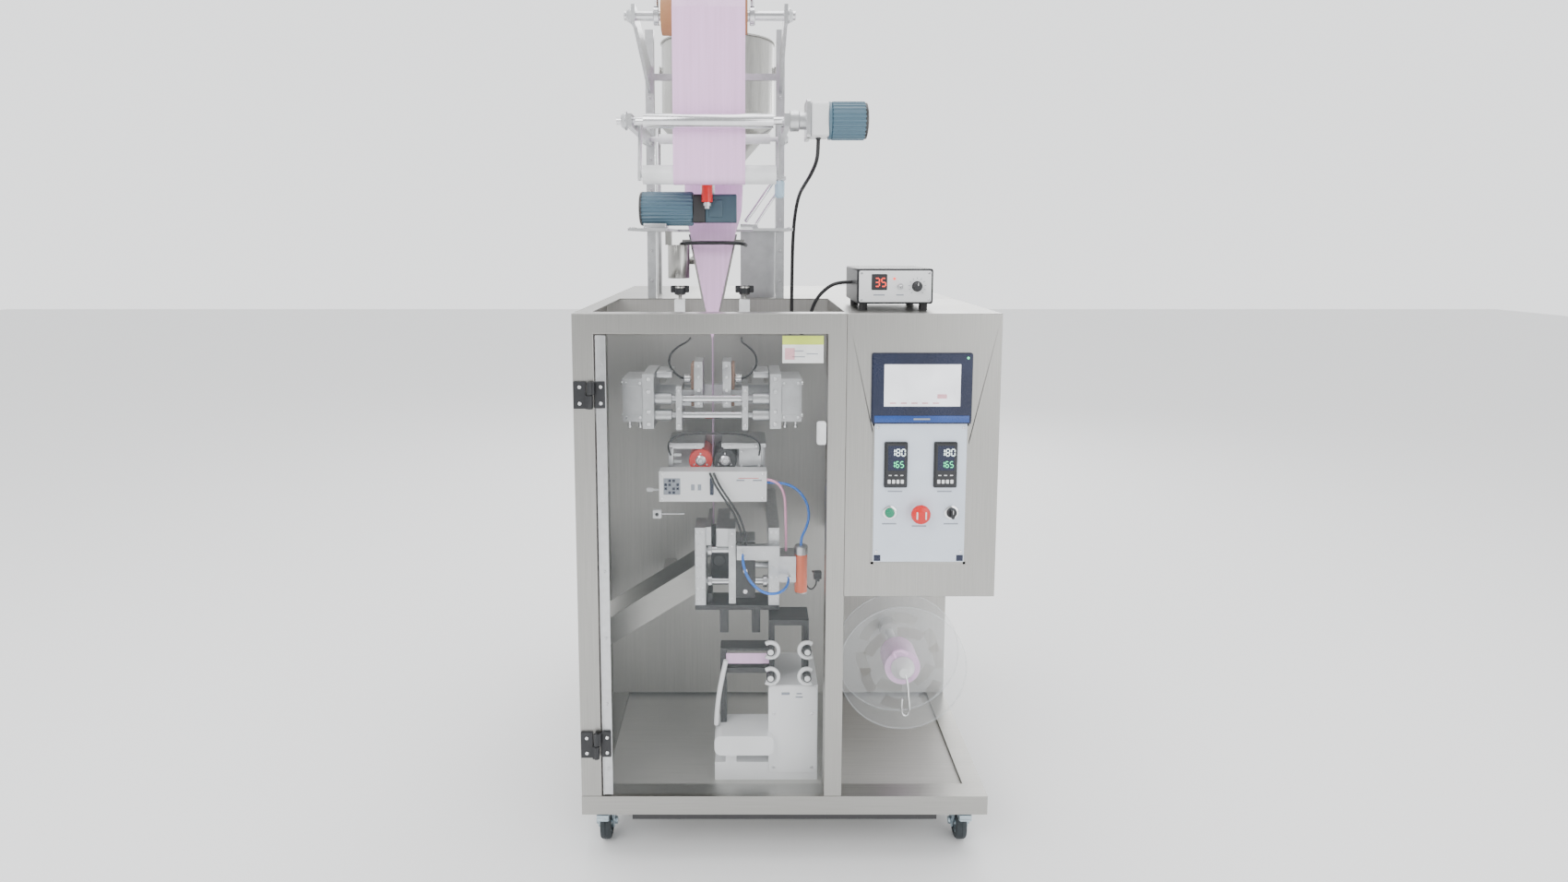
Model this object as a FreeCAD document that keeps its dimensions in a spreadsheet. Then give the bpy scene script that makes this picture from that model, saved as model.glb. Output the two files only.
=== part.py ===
import FreeCAD, Part
import math
import os
import re

import Sketcher

# Vertical form fill sealer: a stainless cabinet on four casters, with a film tower and a hopper above it.
# Millimetres. X runs to the right, Y to the back, Z up. The origin is on the floor under the middle.
# "front" is the cabinet's front face, and depths are measured back from it.

SIZES = {
    # cabinet
    "cab_w": 876, "cab_d": 1000, "cab_top": 1195, "caster_h": 108, "rail_h": 42, "rail_t": 44,
    "post_w": 44, "post_d": 40, "mid_x": 84, "mid_w": 38, "sheet_t": 3, "bay_d": 430, "tray_drop": 8,
    "sub_h": 15, "sub_w": 40, "sub_in": 6, "sub_half": 330, "top_rail_h": 42, "rim_w": 36,
    "spout_depth": 190, "spout_w": 150, "spout_z": 372, "spout_h": 120,
    # front door and its hinges
    "door_gap": 3, "door_t": 6, "door_set": 4, "pin_in": 36, "pin_out": 8, "barrel_r": 6,
    "leaf_h": 56, "leaf_t": 6, "leaf_reach": 30, "leaf_clear": 2.5, "hinge_low": 270,
    "hinge_high_down": 167,
    "grip_w": 19, "grip_h": 48, "grip_out": 10, "grip_z_down": 246,
    # rear door
    "rear_w": 700, "rear_low": 200, "rear_high_down": 45, "rear_t": 2, "rear_knob_r": 16,
    "rear_knob_out": 30,
    "rear_pin_r": 5, "rear_hinge_in": 90, "latch_in": 40, "louvres": 12, "louvre_w": 240,
    "louvre_h": 8, "louvre_step": 24, "louvre_low": 320,
    # control box and what is on its face
    "box_low_down": 597, "panel_x": 276, "panel_w": 190, "panel_low_down": 520,
    "panel_high_down": 226, "panel_t": 3,
    "hmi_w": 202, "hmi_h": 144, "hmi_t": 8, "screen_w": 156, "screen_h": 87,
    "screen_rise": 36, "screen_t": 1.5, "screen_sunk": 2, "temp_w": 46, "temp_h": 94, "temp_t": 7,
    "temp_off": 51, "temp_low_down": 359, "key_z_down": 413, "start_off": -62, "turn_off": 66,
    "key_ring_r": 14.5, "key_ring_t": 4, "key_bore_r": 10.6, "key_r": 10, "key_out": 8, "key_stem": 16,
    "stop_r": 20, "stop_out": 22, "stop_cap_t": 12, "turn_out": 16, "turn_grip_t": 6,
    "plate_in": 60, "plate_h": 420, "drive_w": 90, "drive_h": 150, "drive_t": 70,
    "drive_gap": 12, "drive_rise": 200, "drive_side": 34, "rail_low": 60, "rail_high": 140,
    "plate_gap": 5,
    "plate_t": 3, "spacer_in": 20,
    # controller on top of the box
    "unit_x": 230, "unit_w": 160, "unit_h": 74, "unit_depth": 70, "unit_d": 200, "unit_foot": 14,
    "unit_foot_r": 9, "foot_in_x": 16, "foot_in_y": 24, "unit_face_t": 3, "dial_off": 46,
    "dial_r": 11, "dial_t": 14,
    "toggle_off": 10, "toggle_r": 3.5, "toggle_l": 16, "toggle_hub_t": 4,
    # casters
    "caster_in_x": 41, "caster_in_y": 60, "pad_w": 78, "pad_t": 6, "king_r": 7, "king_l": 12,
    "race_r": 27, "race_t": 9, "race_gap": 1, "trail": 22, "wheel_r": 37.5, "wheel_w": 24,
    "fork_gap": 2.5, "fork_t": 3, "fork_w": 30, "axle_r": 5, "pedal_w": 26, "pedal_l": 26, "pedal_t": 5,
    # film line
    "film_x": -160, "web_w": 150, "web_t": 0.6, "fit": 0.4,
    # tower
    "tower_half": 161, "tower_s": 21, "tower_top_up": 658, "shelf_z_up": 167, "shelf_t": 6,
    "shelf_front": 120, "shelf_back": 620, "shelf_over": 16, "slot_side": 17, "bar_z_up": 390,
    "bar_h": 26,
    "bar_t": 12, "bar_front": 42, "back_w": 88, "back_off": 106, "back_gap": 46, "arm_t": 8,
    "arm_foot_low_up": 505, "arm_foot_high_up": 570, "arm_nose": 20, "tie_down": 120, "tie_h": 16,
    # unwind shaft and roll
    "roll_depth": 150, "roll_z_up": 620, "roll_r": 73.6, "core_r": 38, "shaft_r": 10, "shaft_out": 21,
    "collar_r": 20, "collar_w": 12, "knob_r": 12, "knob_reach": 50, "stem_r": 4, "hub_w": 20,
    "left_collar_out": 38, "right_collar_out": 15,
    # drive roller and its motor
    "drive_depth": 60, "drive_r": 15, "drive_in": 28, "journal_r": 8, "journal_out": 21,
    "house_r": 22, "house_l": 30, "flange_t": 12, "gear_l": 37, "gear_r": 26, "motor_l": 79,
    "motor_r": 39,
    # dancer and guide rollers
    "dancer_depth": 97, "dancer_z_up": 284, "dancer_r": 20, "dancer_in": 21, "dancer_pin_depth": 118,
    "dancer_arm_w": 22, "dancer_arm_t": 6, "dancer_rod_r": 6, "guide_depth": 392, "guide_r": 12,
    "guide_in": 26,
    # former
    "former_top_up": 165, "former_depth": 262, "former_half": 56, "former_low_down": 67,
    "former_end_depth": 214,
    "former_tip": 9, "former_t": 4, "hoop_z_up": 143, "hoop_t": 10, "hoop_half": 72, "wing_off": 73,
    "wing_z_up": 34, "wing_r": 12, "wing_h": 18, "wing_depth": 200, "wing_stem": 20, "wing_post_s": 22,
    "wing_post_low_down": 45, "stay_h": 14,
    "fold_front": 206, "fold_back": 280, "fold_low_down": 559,
    # hopper
    "hopper_depth": 640, "hopper_r": 150, "hopper_low_up": 445, "hopper_high_up": 667, "hopper_wall": 3,
    "cone_low_up": 305, "outlet_r": 26, "outlet_bore_r": 22, "outlet_low_up": 245, "lug_w": 26,
    "band_rise": 22, "band_h": 10, "band_t": 4, "pipe_side": 60,
    # dosing pump
    "pump_depth": 190, "pump_z_up": 216, "pump_motor_r": 38, "pump_motor_l": 123, "pump_left": -158,
    "pump_head_l": 91, "pump_head_h": 62, "dose_in": 14, "hanger_w": 14, "dose_r": 25, "dose_low_up": 60,
    "dose_high_up": 136, "dose_depth": 250, "pipe_r": 12, "pipe_z_up": 97, "nozzle_r": 7,
    "nozzle_depth": 296,
    "nozzle_low_up": 27, "spindle_r": 15, "spindle_l": 50,
    # vertical sealer
    "seal_z_down": 220, "seal_front": 160, "seal_back": 300, "cheek_in": 130, "cheek_out": 155,
    "cheek_h": 124,
    "ram_out": 202, "ram_h": 98, "ram_inset": 16, "slide_plate_in": 68, "slide_plate_out": 81,
    "slide_plate_h": 100, "slide_plate_back": 262, "bar_in": 23, "bar_out": 42, "bar_rise": 91,
    "bar_drop": 15, "seal_bar_front": 208,
    "seal_bar_back": 286, "rod_r": 8, "rod_depth": 188, "rod_up": 10, "rod_down": -28, "piston_r": 7,
    "piston_depth": 232, "beam_h": 46, "beam_t": 22,
    # film pull rollers
    "pull_z_down": 357, "pull_r": 27.2, "pull_front": 196, "pull_back": 292, "pull_axle_r": 8,
    "pull_half": 112,
    "pull_low_down": 425, "pull_head": 13.8, "pull_wall": 12, "pull_wall_depth": 300,
    "pull_post_off": 70,
    "pull_post_w": 24, "pull_top_t": 9, "pull_slot": 20, "gearbox_gap": 6.9, "cover_half": 121,
    "cover_low_down": 438, "cover_high_down": 369, "cover_front": 148, "cover_back": 188, "cover_t": 3,
    # cross sealer and cutter
    "cut_front": 128, "cut_back": 198, "cut_low_down": 672, "cut_high_down": 492, "cut_left": -38,
    "cut_plate": 24,
    "cut_right": 127, "ledge_t": 10, "leg_w": 18, "leg_d": 30, "leg_left": 18, "leg_right": 90,
    "leg_low_down": 736, "anvil_in": 2.6, "anvil_out": 12,
    "jaw_low_down": 539, "jaw_high_down": 497, "jaw_back": 284, "jaw_in": 9.5, "jaw_plate_in": 38,
    "jaw_plate_out": 53, "cut_rod_r": 8, "cut_rod_high_down": 555, "cut_rod_low_down": 629,
    "ram_block_l": 38,
    "ram_block_h": 60, "ram_block_half": 28, "ram_z_down": 591, "cut_depth_mid": 163, "cut_block_l": 44,
    "manifold_in": 56, "manifold_out": 20, "manifold_gap": 4, "manifold_low": 32, "manifold_high": 64,
    "filter_r": 14, "filter_depth": 150, "filter_low_down": 650, "filter_h": 110,
    # discharge chute
    "chute_x": -268, "chute_z": 476, "chute_l": 330, "chute_w": 118, "chute_h": 58, "chute_t": 2,
    "chute_depth": 206, "chute_slope": 32,
    # coder
    "coder_left": -153, "coder_right": 75, "coder_front": 70, "coder_d": 150, "coder_base_h": 42,
    "coder_body_x": -32, "coder_body_top": 365, "coder_arm_low": 212, "coder_arm_h": 45,
    "coder_arm_front": 50, "coder_top": 505, "coder_rod_r": 6, "coder_rod_out": 24,
    "coder_bar_t": 12, "coder_lip_t": 6,
    "coder_upper_low": 374, "coder_upper_h": 52,
    # take-up reel
    "reel_x": 288, "reel_z": 333, "reel_r": 152, "reel_front": 205, "reel_back": 285, "reel_t": 3,
    "reel_hub_r": 28, "reel_axle_r": 10, "reel_bearing_r": 24, "reel_bearing_l": 34,
    # cords
    "cable_r": 4, "hose_r": 3,
}

# Places and lengths that follow from the sizes above. What hangs in the cabinet or stands on it is placed
# from the cabinet's top, and what stands on its floor from the floor.
DERIVED = {
    "left": "-cab_w / 2",
    "right": "cab_w / 2",
    "front": "-cab_d / 2",
    "back": "cab_d / 2",
    "rail_top": "caster_h + rail_h",
    "tray_top": "rail_top - tray_drop",
    "mid_right": "mid_x + mid_w",
    "bulk_y": "front + bay_d",
    "tower_top": "cab_top + tower_top_up",
    "shelf_z": "cab_top + shelf_z_up",
    "bar_z": "cab_top + bar_z_up",
    "roll_z": "cab_top + roll_z_up",
    "arm_foot_low": "cab_top + arm_foot_low_up",
    "arm_foot_high": "cab_top + arm_foot_high_up",
    "dancer_z": "cab_top + dancer_z_up",
    "former_top": "cab_top + former_top_up",
    "former_low": "cab_top - former_low_down",
    "hoop_z": "cab_top + hoop_z_up",
    "wing_z": "cab_top + wing_z_up",
    "wing_post_low": "cab_top - wing_post_low_down",
    "hopper_low": "cab_top + hopper_low_up",
    "hopper_high": "cab_top + hopper_high_up",
    "cone_low": "cab_top + cone_low_up",
    "outlet_low": "cab_top + outlet_low_up",
    "pump_z": "cab_top + pump_z_up",
    "dose_low": "cab_top + dose_low_up",
    "dose_high": "cab_top + dose_high_up",
    "pipe_z": "cab_top + pipe_z_up",
    "nozzle_low": "cab_top + nozzle_low_up",
    "fold_low": "cab_top - fold_low_down",
    "box_low": "cab_top - box_low_down",
    "panel_low": "cab_top - panel_low_down",
    "panel_high": "cab_top - panel_high_down",
    "temp_low": "cab_top - temp_low_down",
    "key_z": "cab_top - key_z_down",
    "seal_z": "cab_top - seal_z_down",
    "pull_z": "cab_top - pull_z_down",
    "pull_low": "cab_top - pull_low_down",
    "pull_high": "pull_z + pull_r + pull_head",
    "cover_low": "cab_top - cover_low_down",
    "cover_high": "cab_top - cover_high_down",
    "cut_low": "cab_top - cut_low_down",
    "cut_high": "cab_top - cut_high_down",
    "leg_low": "cab_top - leg_low_down",
    "jaw_low": "cab_top - jaw_low_down",
    "jaw_high": "cab_top - jaw_high_down",
    "cut_rod_high": "cab_top - cut_rod_high_down",
    "cut_rod_low": "cab_top - cut_rod_low_down",
    "ram_z": "cab_top - ram_z_down",
    "filter_low": "cab_top - filter_low_down",
    "hinge_high": "cab_top - hinge_high_down",
    "grip_z": "cab_top - grip_z_down",
    "rear_high": "cab_top - rear_high_down",
    "door_left": "left + post_w + door_gap",
    "door_right": "mid_x - door_gap",
    "door_low": "rail_top + door_gap",
    "door_high": "cab_top - top_rail_h - door_gap",
    "door_face": "front + door_set",
    "pin_x": "left + pin_in",
    "pin_y": "front - pin_out",
    "rear_pin_x": "-rear_w / 2 - 4",
    "rear_pin_y": "back + rear_pin_r + 1",
    "panel_face": "front - panel_t",
    "hmi_low": "panel_high",
    "unit_low": "cab_top + unit_foot",
    "unit_front": "front + unit_depth",
    "dial_z": "unit_low + unit_h / 2",
    "race_top": "caster_h - pad_t - race_gap",
    "post_left": "film_x - tower_half",
    "post_right": "film_x + tower_half",
    "post_y": "bulk_y + sheet_t + tower_s / 2 + 2",
    "bar_low": "bar_z - bar_h / 2",
    "bar_high": "bar_z + bar_h / 2",
    "slot_half": "web_w / 2 + slot_side",
    "dose_off": "dose_in - slot_half",
    "shaft_half": "tower_half + shaft_out",
    "left_collar": "-web_w / 2 - left_collar_out",
    "right_collar": "web_w / 2 + right_collar_out",
    "drive_half": "tower_half - drive_in",
    "journal_half": "tower_half + bar_t / 2 + journal_out",
    "dancer_half": "tower_half - dancer_in",
    "guide_half": "tower_half - guide_in",
    "roll_y": "front + roll_depth",
    "drive_y": "front + drive_depth",
    "dancer_y": "front + dancer_depth",
    "guide_y": "front + guide_depth",
    "hopper_y": "front + hopper_depth",
    "pump_y": "front + pump_depth",
    "pull_gap": "web_t / 2 + fit",
    "gearbox_in": "2 * pull_r + pull_gap + gearbox_gap",
}

AXIS_TURNS = {
    "x": FreeCAD.Rotation(FreeCAD.Vector(0, 1, 0), 90),
    "y": FreeCAD.Rotation(FreeCAD.Vector(1, 0, 0), -90),
    "z": FreeCAD.Rotation(),
}

FILTER_X = "film_x + cut_right + cut_plate + ram_block_l + filter_r - 2"

doc = FreeCAD.newDocument("vertical_form_fill_sealer")
sheet = doc.addObject("Spreadsheet::Sheet", "Sizes")
for row, (alias, size) in enumerate(SIZES.items(), start=1):
    sheet.set(f"A{row}", alias)
    sheet.set(f"B{row}", str(size))
    sheet.setAlias(f"B{row}", alias)
doc.recompute()
nodes = []


def formula(text):
    """The expression with each derived place written out and each size read from the sheet."""
    def swap(match):
        word = match[0]
        if word in DERIVED:
            return f"({formula(DERIVED[word])})"
        return f"Sizes.{word}" if word in SIZES else word
    return re.sub(r"[a-z_][a-z0-9_]*", swap, str(text))


def value(text):
    """The number that an expression in sizes comes to."""
    return float(sheet.evalExpression(formula(text)))


def bind(thing, target, text):
    """Tie one property of an object to an expression in sizes."""
    thing.setExpression(target, formula(text))


def put(thing, x, y, z):
    """Tie an object's place to three expressions."""
    for axis, text in zip("xyz", (x, y, z)):
        bind(thing, f"Placement.Base.{axis}", text)
    return thing


def turned(thing, axis, degrees, x, y, z):
    """Turn an object about a line through a point that is given in the object's own frame."""
    pivot = FreeCAD.Vector(value(x), value(y), value(z))
    turn = FreeCAD.Placement(FreeCAD.Vector(), FreeCAD.Rotation(axis, degrees), pivot)
    group = doc.addObject("Part::Compound", "Turned")
    group.Links = [thing]
    group.Placement = turn
    return group


def box(x, y, z):
    """A block between three pairs of limits."""
    block = doc.addObject("Part::Box", "Block")
    for side, (low, high) in zip(("Length", "Width", "Height"), (x, y, z)):
        bind(block, side, f"({high}) - ({low})")
    return put(block, x[0], y[0], z[0])


def rod(axis, at, span, radius):
    """A round bar along an axis: at holds the two other coordinates, span the two ends."""
    bar = doc.addObject("Part::Cylinder", "Bar")
    bind(bar, "Radius", radius)
    bind(bar, "Height", f"({span[1]}) - ({span[0]})")
    bar.Placement.Rotation = AXIS_TURNS[axis]
    spot = list(at)
    spot.insert("xyz".index(axis), span[0])
    return put(bar, *spot)


def cone(axis, at, span, first, last):
    """A tapered round bar along an axis."""
    bar = doc.addObject("Part::Cone", "Taper")
    bind(bar, "Radius1", first)
    bind(bar, "Radius2", last)
    bind(bar, "Height", f"({span[1]}) - ({span[0]})")
    bar.Placement.Rotation = AXIS_TURNS[axis]
    spot = list(at)
    spot.insert("xyz".index(axis), span[0])
    return put(bar, *spot)


def join(*pieces):
    """One solid from pieces that meet."""
    union = doc.addObject("Part::MultiFuse", "Union")
    union.Shapes = list(pieces)
    return union


def together(*pieces):
    """Several separate solids kept as one group."""
    group = doc.addObject("Part::Compound", "Group")
    group.Links = list(pieces)
    return group


def cut(base, *tools):
    """A solid with other solids taken out of it."""
    result = doc.addObject("Part::Cut", "Cutout")
    result.Base = base
    result.Tool = tools[0] if len(tools) == 1 else join(*tools)
    return result


def rounded(thing, axis, radius):
    """Round the straight edges of a solid that run along one axis."""
    doc.recompute()
    across = {"x": "YZ", "y": "XZ", "z": "XY"}[axis]
    fillet = doc.addObject("Part::Fillet", "Rounded")
    fillet.Base = thing
    edges = []
    for number, edge in enumerate(thing.Shape.Edges, start=1):
        extent = edge.BoundBox
        if all(getattr(extent, side + "Length") < 1e-6 for side in across):
            edges.append((number, value(radius), value(radius)))
    fillet.Edges = edges
    return fillet


def prism(plane, outline, span):
    """A PartDesign body: an outline in the XZ or YZ plane, padded between two limits along Y or X."""
    body = doc.addObject("PartDesign::Body", "Plate")
    sketch = body.newObject("Sketcher::SketchObject", "Outline")
    support = [item for item in body.Origin.OriginFeatures if item.Role == plane + "_Plane"][0]
    sketch.AttachmentSupport = [(support, "")]
    sketch.MapMode = "FlatFace"
    corners = [FreeCAD.Vector(value(across), value(up), 0) for across, up in outline]
    count = len(corners)
    for index in range(count):
        sketch.addGeometry(Part.LineSegment(corners[index], corners[(index + 1) % count]), False)
    for index in range(count):
        sketch.addConstraint(Sketcher.Constraint("Coincident", index, 2, (index + 1) % count, 1))
    for index, (across, up) in enumerate(outline):
        for kind, text, number in (("DistanceX", across, corners[index].x),
                                   ("DistanceY", up, corners[index].y)):
            held = sketch.addConstraint(Sketcher.Constraint(kind, -1, 1, index, 1, number))
            sketch.setExpression(f"Constraints[{held}]", formula(text))
    pad = body.newObject("PartDesign::Pad", "Thickness")
    pad.Profile = sketch
    bind(pad, "Length", f"({span[1]}) - ({span[0]})")
    if plane == "YZ":
        return put(body, span[0], "0", "0")
    return put(body, "0", span[1], "0")


def node(label, thing):
    """Name a finished sub-part."""
    thing.Label = label
    nodes.append(thing)
    return thing


def mirrored_x(offset, side):
    """An X place at an offset from the film's plane, to the left (-1) or the right (1)."""
    return f"film_x + ({side}) * ({offset})"


def span_x(inner, outer, side):
    """The two X limits of a piece that lies beside the film's plane, lowest first."""
    ends = [mirrored_x(inner, side), mirrored_x(outer, side)]
    return tuple(ends if side > 0 else ends[::-1])


def rounded_path(points, radii=None):
    """A wire of straight runs and tangent arcs; without radii each arc takes 0.45 of its shorter run."""
    edges = []
    used = []
    start = points[0]
    for index in range(1, len(points) - 1):
        before = points[index] - points[index - 1]
        after = points[index + 1] - points[index]
        turn = before.getAngle(after)
        if radii is None:
            reach = 0.45 * min(before.Length, after.Length)
            radius = reach / math.tan(turn / 2)
        else:
            radius = radii[index - 1]
            reach = radius * math.tan(turn / 2)
        used.append(radius)
        ahead = FreeCAD.Vector(before).normalize()
        away = FreeCAD.Vector(after).normalize()
        first = points[index] - ahead * reach
        last = points[index] + away * reach
        inward = (away - ahead).normalize()
        middle = points[index] + inward * (radius / math.cos(turn / 2) - radius)
        if (first - start).Length > 1e-4:
            edges.append(Part.LineSegment(start, first).toShape())
        edges.append(Part.Arc(first, middle, last).toShape())
        start = last
    edges.append(Part.LineSegment(start, points[-1]).toShape())
    return Part.Wire(edges), used


def tube(label, route, radius_name):
    """A cord's tube along a route of chosen points, as a named sub-part."""
    radius = value(radius_name)
    points = [FreeCAD.Vector(value(x), value(y), value(z)) for x, y, z in route]
    path, radii = rounded_path(points)
    ring = Part.Wire(Part.Circle(points[0], points[1] - points[0], radius).toShape())
    shape = path.makePipeShell([ring], True, True)
    expected = math.pi * radius ** 2 * path.Length
    if abs(shape.Volume / expected - 1) > 0.01:
        raise RuntimeError(f"{label}: volume {shape.Volume:.0f}, section times length {expected:.0f}")
    tightest = min(radii)
    print(f"{label}: length {path.Length:.0f}, radii", " ".join(f"{bend:.0f}" for bend in radii),
          f"(tightest {tightest / (2 * radius):.1f} diameters)")
    feature = doc.addObject("Part::Feature", "Tube")
    feature.Shape = shape
    feature.Placement = FreeCAD.Placement()
    return node(label, feature)


def caster(name, side, end):
    """One caster: a fixed pad with its king pin, a swivelling fork, and a wheel on the fork's axle."""
    x = f"({side}) * (cab_w / 2 - caster_in_x)"
    y = f"({end}) * (cab_d / 2 - caster_in_y)"
    axle_y = f"{y} + trail"
    pad = join(box((f"{x} - pad_w / 2", f"{x} + pad_w / 2"), (f"{y} - pad_w / 2", f"{y} + pad_w / 2"),
                   ("caster_h - pad_t", "caster_h")),
               rod("z", (x, y), ("race_top - king_l", "caster_h - pad_t / 2"), "king_r"))
    race = rod("z", (x, y), ("race_top - race_t", "race_top"), "race_r")
    bridge = box((f"{x} - wheel_w / 2 - fork_gap - fork_t", f"{x} + wheel_w / 2 + fork_gap + fork_t"),
                 (f"{y} - fork_w / 2", f"{y} + fork_w / 2 + trail / 2"),
                 ("race_top - race_t - fork_t", "race_top - race_t"))
    legs = []
    for hand in (-1, 1):
        inner = f"{x} + ({hand}) * (wheel_w / 2 + fork_gap)"
        outer = f"{x} + ({hand}) * (wheel_w / 2 + fork_gap + fork_t)"
        limits = (inner, outer) if hand > 0 else (outer, inner)
        legs.append(prism("YZ", [(f"{y} - fork_w / 2", "race_top - race_t"),
                                 (f"{axle_y} - axle_r * 2", "wheel_r - axle_r * 2"),
                                 (f"{axle_y} + axle_r * 2", "wheel_r - axle_r * 2"),
                                 (f"{y} + fork_w / 2 + trail / 2", "race_top - race_t")], limits))
    axle = rod("x", (axle_y, "wheel_r"), (f"{x} - wheel_w / 2 - fork_gap - fork_t - 2",
                                          f"{x} + wheel_w / 2 + fork_gap + fork_t + 2"), "axle_r")
    pieces = [race, bridge, axle] + legs
    if end < 0:
        pieces.append(box((f"{x} - pedal_w / 2", f"{x} + pedal_w / 2"),
                          (f"{y} - fork_w / 2 - pedal_l", f"{y} - fork_w / 2 + 2"),
                          ("race_top - race_t - fork_t - pedal_t", "race_top - race_t")))
    socket = rod("z", (x, y), ("race_top - king_l - 2", "race_top + 1"), "king_r + fit")
    node(f"caster_fork_{name}", cut(join(*pieces), socket))
    tyre = rod("x", (axle_y, "wheel_r"), (f"{x} - wheel_w / 2", f"{x} + wheel_w / 2"), "wheel_r")
    groove = rod("x", (axle_y, "wheel_r"), (f"{x} - wheel_w / 2 - 1", f"{x} + wheel_w / 2 + 1"),
                 "axle_r + fit")
    node(f"caster_wheel_{name}", cut(tyre, groove))
    return pad


def base():
    """Base rails with the casters' pads, the dark strip under them and the sunk floor."""
    slab = box(("left", "right"), ("front", "back"), ("caster_h", "rail_top"))
    inside = ("front + rail_t", "back - rail_t")
    through = ("caster_h - 1", "rail_top + 1")
    left_bay = box(("left + rail_t", "mid_x"), inside, through)
    right_bay = box(("mid_right", "right - rail_t"), inside, through)
    pads = [caster(name, side, end) for name, side, end in
            (("front_left", -1, -1), ("front_right", 1, -1), ("rear_left", -1, 1), ("rear_right", 1, 1))]
    node("base_frame", join(cut(slab, left_bay, right_bay), *pads))
    tray = ("tray_top - sheet_t", "tray_top")
    node("floor_tray", together(box(("left + rail_t", "mid_x"), inside, tray),
                                box(("mid_right", "right - rail_t"), inside, tray)))
    under = ("caster_h - sub_h", "caster_h")
    strips = [box(("-sub_half", "sub_half"), ("front + sub_in", "front + sub_in + sub_w"), under),
              box(("-sub_half", "sub_half"), ("back - sub_in - sub_w", "back - sub_in"), under)]
    for side in (-1, 1):
        edge = ("sub_half - sub_w", "sub_half") if side > 0 else ("-sub_half", "sub_w - sub_half")
        strips.append(box(edge, ("front + sub_in", "back - sub_in"), under))
    node("base_subframe", join(*strips))


def cabinet():
    """Welded frame, skins, bulkhead and top."""
    front_post = ("front", "front + post_d")
    rear_post = ("back - post_d", "back")
    height = ("rail_top", "cab_top")
    rail = ("cab_top - top_rail_h", "cab_top")
    pieces = [box(("left", "left + post_w"), front_post, height),
              box(("mid_x", "mid_right"), front_post, height),
              box(("left", "mid_right"), front_post, rail)]
    rear = [box(("left", "left + post_w"), rear_post, height),
            box(("right - post_w", "right"), rear_post, height),
            box(("left", "right"), rear_post, ("cab_top - sheet_t - top_rail_h", "cab_top - sheet_t"))]
    rear_frame = cut(join(*rear), box(("left - 1", "right + 1"), ("back - post_d - 1", "back + 1"),
                                      ("cab_top - sheet_t", "cab_top + 1")))
    node("cabinet_frame", together(join(*pieces), rear_frame))
    between = ("front + post_d", "back - post_d")
    skin_top = "cab_top - sheet_t"
    left_skin = join(box(("left", "left + sheet_t"), between, ("rail_top", skin_top)),
                     box(("left", "left + rim_w"), ("front + post_d", "bulk_y"), (skin_top, "cab_top")))
    spout = box(("left - 1", "left + rim_w"), ("front + spout_depth", "front + spout_depth + spout_w"),
                ("spout_z", "spout_z + spout_h"))
    right_skin = box(("right - sheet_t", "right"), ("bulk_y + sheet_t", "back - post_d"),
                     ("rail_top", skin_top))
    lid = box(("left", "right"), ("bulk_y", "back"), (skin_top, "cab_top"))
    node("cabinet_skins", together(cut(left_skin, spout), right_skin, lid))


def bulkhead():
    """Wall behind the working bays, with the chute's stay and the reel's bearing."""
    wall = box(("left + sheet_t", "right"), ("bulk_y", "bulk_y + sheet_t"),
               ("rail_top", "cab_top - sheet_t"))
    stay = box(("chute_x - 25", "chute_x + 5"), ("front + chute_depth + chute_w", "bulk_y"),
               ("chute_z + 6", "chute_z + 40"))
    spot = ("reel_x", "reel_z")
    bearing = rod("y", spot, ("bulk_y - reel_bearing_l", "bulk_y"), "reel_bearing_r")
    bore = rod("y", spot, ("bulk_y - reel_bearing_l - 1", "bulk_y - 4"), "reel_axle_r + fit")
    node("bulkhead", cut(join(wall, stay, bearing), bore))


def hinge_half(low, high, side):
    """One half of a door hinge: side -1 is fixed to the post, 1 to the door."""
    middle = f"({low} + {high}) / 2"
    if side < 0:
        knuckle = (low, f"{middle} - fit")
        plate = box(("left + 2", "pin_x - barrel_r - leaf_clear"), ("front - leaf_t", "front"), (low, high))
        tab = box(("pin_x - barrel_r - leaf_clear", "pin_x"), ("pin_y - leaf_t / 2", "front"), knuckle)
    else:
        knuckle = (f"{middle} + fit", high)
        plate = box(("pin_x + barrel_r + leaf_clear", "pin_x + barrel_r + leaf_reach"),
                    ("door_face - leaf_t - 2", "door_face"), (low, high))
        tab = box(("pin_x", "pin_x + barrel_r + leaf_clear"), ("pin_y - leaf_t / 2", "pin_y + leaf_t / 2"),
                  knuckle)
    barrel = rod("z", ("pin_x", "pin_y"), knuckle, "barrel_r")
    return join(plate, tab, barrel)


def front_door():
    """Clear door with its hinges and its grip."""
    node("front_door", box(("door_left", "door_right"), ("door_face", "door_face + door_t"),
                           ("door_low", "door_high")))
    post_halves, door_halves = ([hinge_half(f"{level} - leaf_h / 2", f"{level} + leaf_h / 2", side)
                                 for level in ("hinge_low", "hinge_high")] for side in (-1, 1))
    node("door_hinge_post_leaves", together(*post_halves))
    grip = rounded(box(("door_right - grip_w", "door_right"), ("front - grip_out", "door_face"),
                       ("grip_z - grip_h / 2", "grip_z + grip_h / 2")), "y", "grip_out / 3")
    node("door_fittings", together(*door_halves, grip))


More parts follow.
